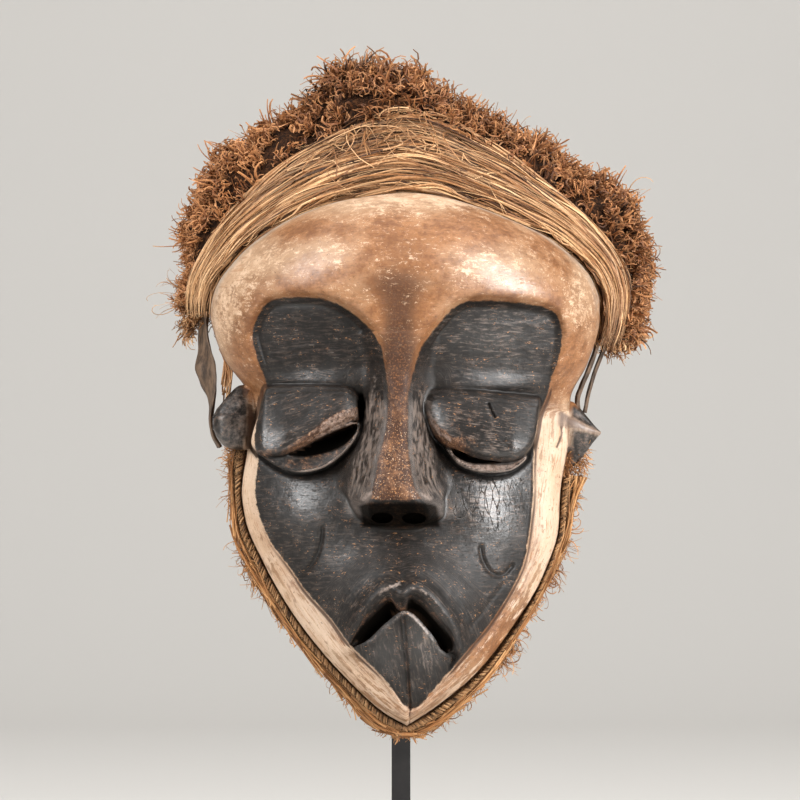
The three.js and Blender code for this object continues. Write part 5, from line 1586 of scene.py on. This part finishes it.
dress(walled("binding_core", binding_outer, binding_inner, np.linspace(-0.022, 1, 420), np.linspace(0, 1, 9),
             BINDING), "binding_fibre", "jaw_binding")
dress(binding_stitches(61).build("binding_stitches", STITCH_FIBRE), "binding_fibre")
dress(binding_fringe(62).build("binding_fringe", FRINGE_FIBRE), "binding_fibre")

for piece, node, route, thick, seed in (
        ("left_strap", "strap_left", LEFT_STRAP, 2, 71),
        ("right_front_strap", "strap_right_front", RIGHT_FRONT_STRAP, 2, 73),
        ("right_back_strap", "strap_right_back", RIGHT_BACK_STRAP, 1.4, 75)):
    dress(strap(piece, route, thick, HIDE, seed), "strap_hide", node)

for node in ("stand_post", "stand_base"):
    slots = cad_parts[node].data.materials
    slots.clear()
    slots.append(STEEL)


# The room, the lights and the camera, in metres

LIGHT_CENTRE = (0, -0.03, 0.26)
LIGHT_AWAY = 1.5
MIDDLE = (0, -0.03, 0.27)       # where the lights on the face aim


def studio():
    """A pale floor that sweeps up into a wall behind."""
    reach, front, back, high, bend = 6.5, -3.5, 2.6, 5.5, 1.2
    turn = np.linspace(0, np.pi / 2, 24)
    profile = [(front, 0.0)]
    profile += [(back - bend + bend * np.sin(t), bend - bend * np.cos(t)) for t in turn]
    profile += [(back, high)]
    points = [(x, y, z) for y, z in profile for x in (-reach, reach)]
    faces = [(2 * i, 2 * i + 1, 2 * i + 3, 2 * i + 2) for i in range(len(profile) - 1)]
    mesh = bpy.data.meshes.new("studio_sweep")
    mesh.from_pydata(points, [], faces)
    mesh.polygons.foreach_set("use_smooth", [True] * len(faces))
    sweep = linked("studio_sweep", mesh)
    s = Shader("studio_sweep")
    mesh.materials.append(s.finish(PALE_WALL, 0.9, Specular_IOR_Level=0.1))


def soft_light(name, place_at, target, wide, high, power):
    light = bpy.data.lights.new(name, "AREA")
    light.shape = "RECTANGLE"
    light.size, light.size_y = wide, high
    light.energy = power
    lamp = linked(name, light)
    lamp.location = place_at
    lamp.rotation_euler = (Vector(target) - lamp.location).to_track_quat("-Z", "Y").to_euler()


def round_the_face(azimuth, elevation):
    """A place at an angle to the right of the viewer's line and above it, towards the middle of the face."""
    a, e = np.deg2rad(azimuth), np.deg2rad(elevation)
    x, y, z = LIGHT_CENTRE
    return (x + LIGHT_AWAY * np.sin(a) * np.cos(e), y - LIGHT_AWAY * np.cos(a) * np.cos(e),
            z + LIGHT_AWAY * np.sin(e))


studio()
for name, azimuth, elevation, wide, high, power in (
        ("key", 47, 24, 0.36, 1.3, 23), ("second", -52, 27, 0.36, 1.3, 24),
        ("cheek_right", 60, 7, 0.26, 0.7, 13),
        ("brow_right", 42, 58, 0.45, 0.3, 5.5), ("brow_left", -46, 58, 0.45, 0.3, 3.5)):
    soft_light(name, round_the_face(azimuth, elevation), MIDDLE, wide, high, power)
soft_light("wall", (0, 0.6, 2.6), (0, 2.4, 0.6), 2.0, 0.6, 40)

world = bpy.data.worlds.new("studio")
world.use_nodes = True
world.node_tree.nodes["Background"].inputs["Color"].default_value = (1.0, 0.97, 0.93, 1)
world.node_tree.nodes["Background"].inputs["Strength"].default_value = 0.08
bpy.context.scene.world = world
bpy.context.scene.view_settings.view_transform = "Standard"

VIEW_DISTANCE = 2.5             # metres from the lens to the plane of the face
VIEW_WIDTH = 0.4                # metres that the picture spans in that plane
FACE_PLANE = -0.034
VIEW_MIDDLE = (-0.0005, 0.2565)     # x and height of the picture's middle
lens = bpy.data.cameras.new("camera")
lens.sensor_width = 36
lens.lens = 36 * VIEW_DISTANCE / VIEW_WIDTH
camera = linked("camera", lens)
camera.location = (VIEW_MIDDLE[0], FACE_PLANE - VIEW_DISTANCE, VIEW_MIDDLE[1])
camera.rotation_euler = (np.pi / 2, 0, 0)
bpy.context.scene.camera = camera
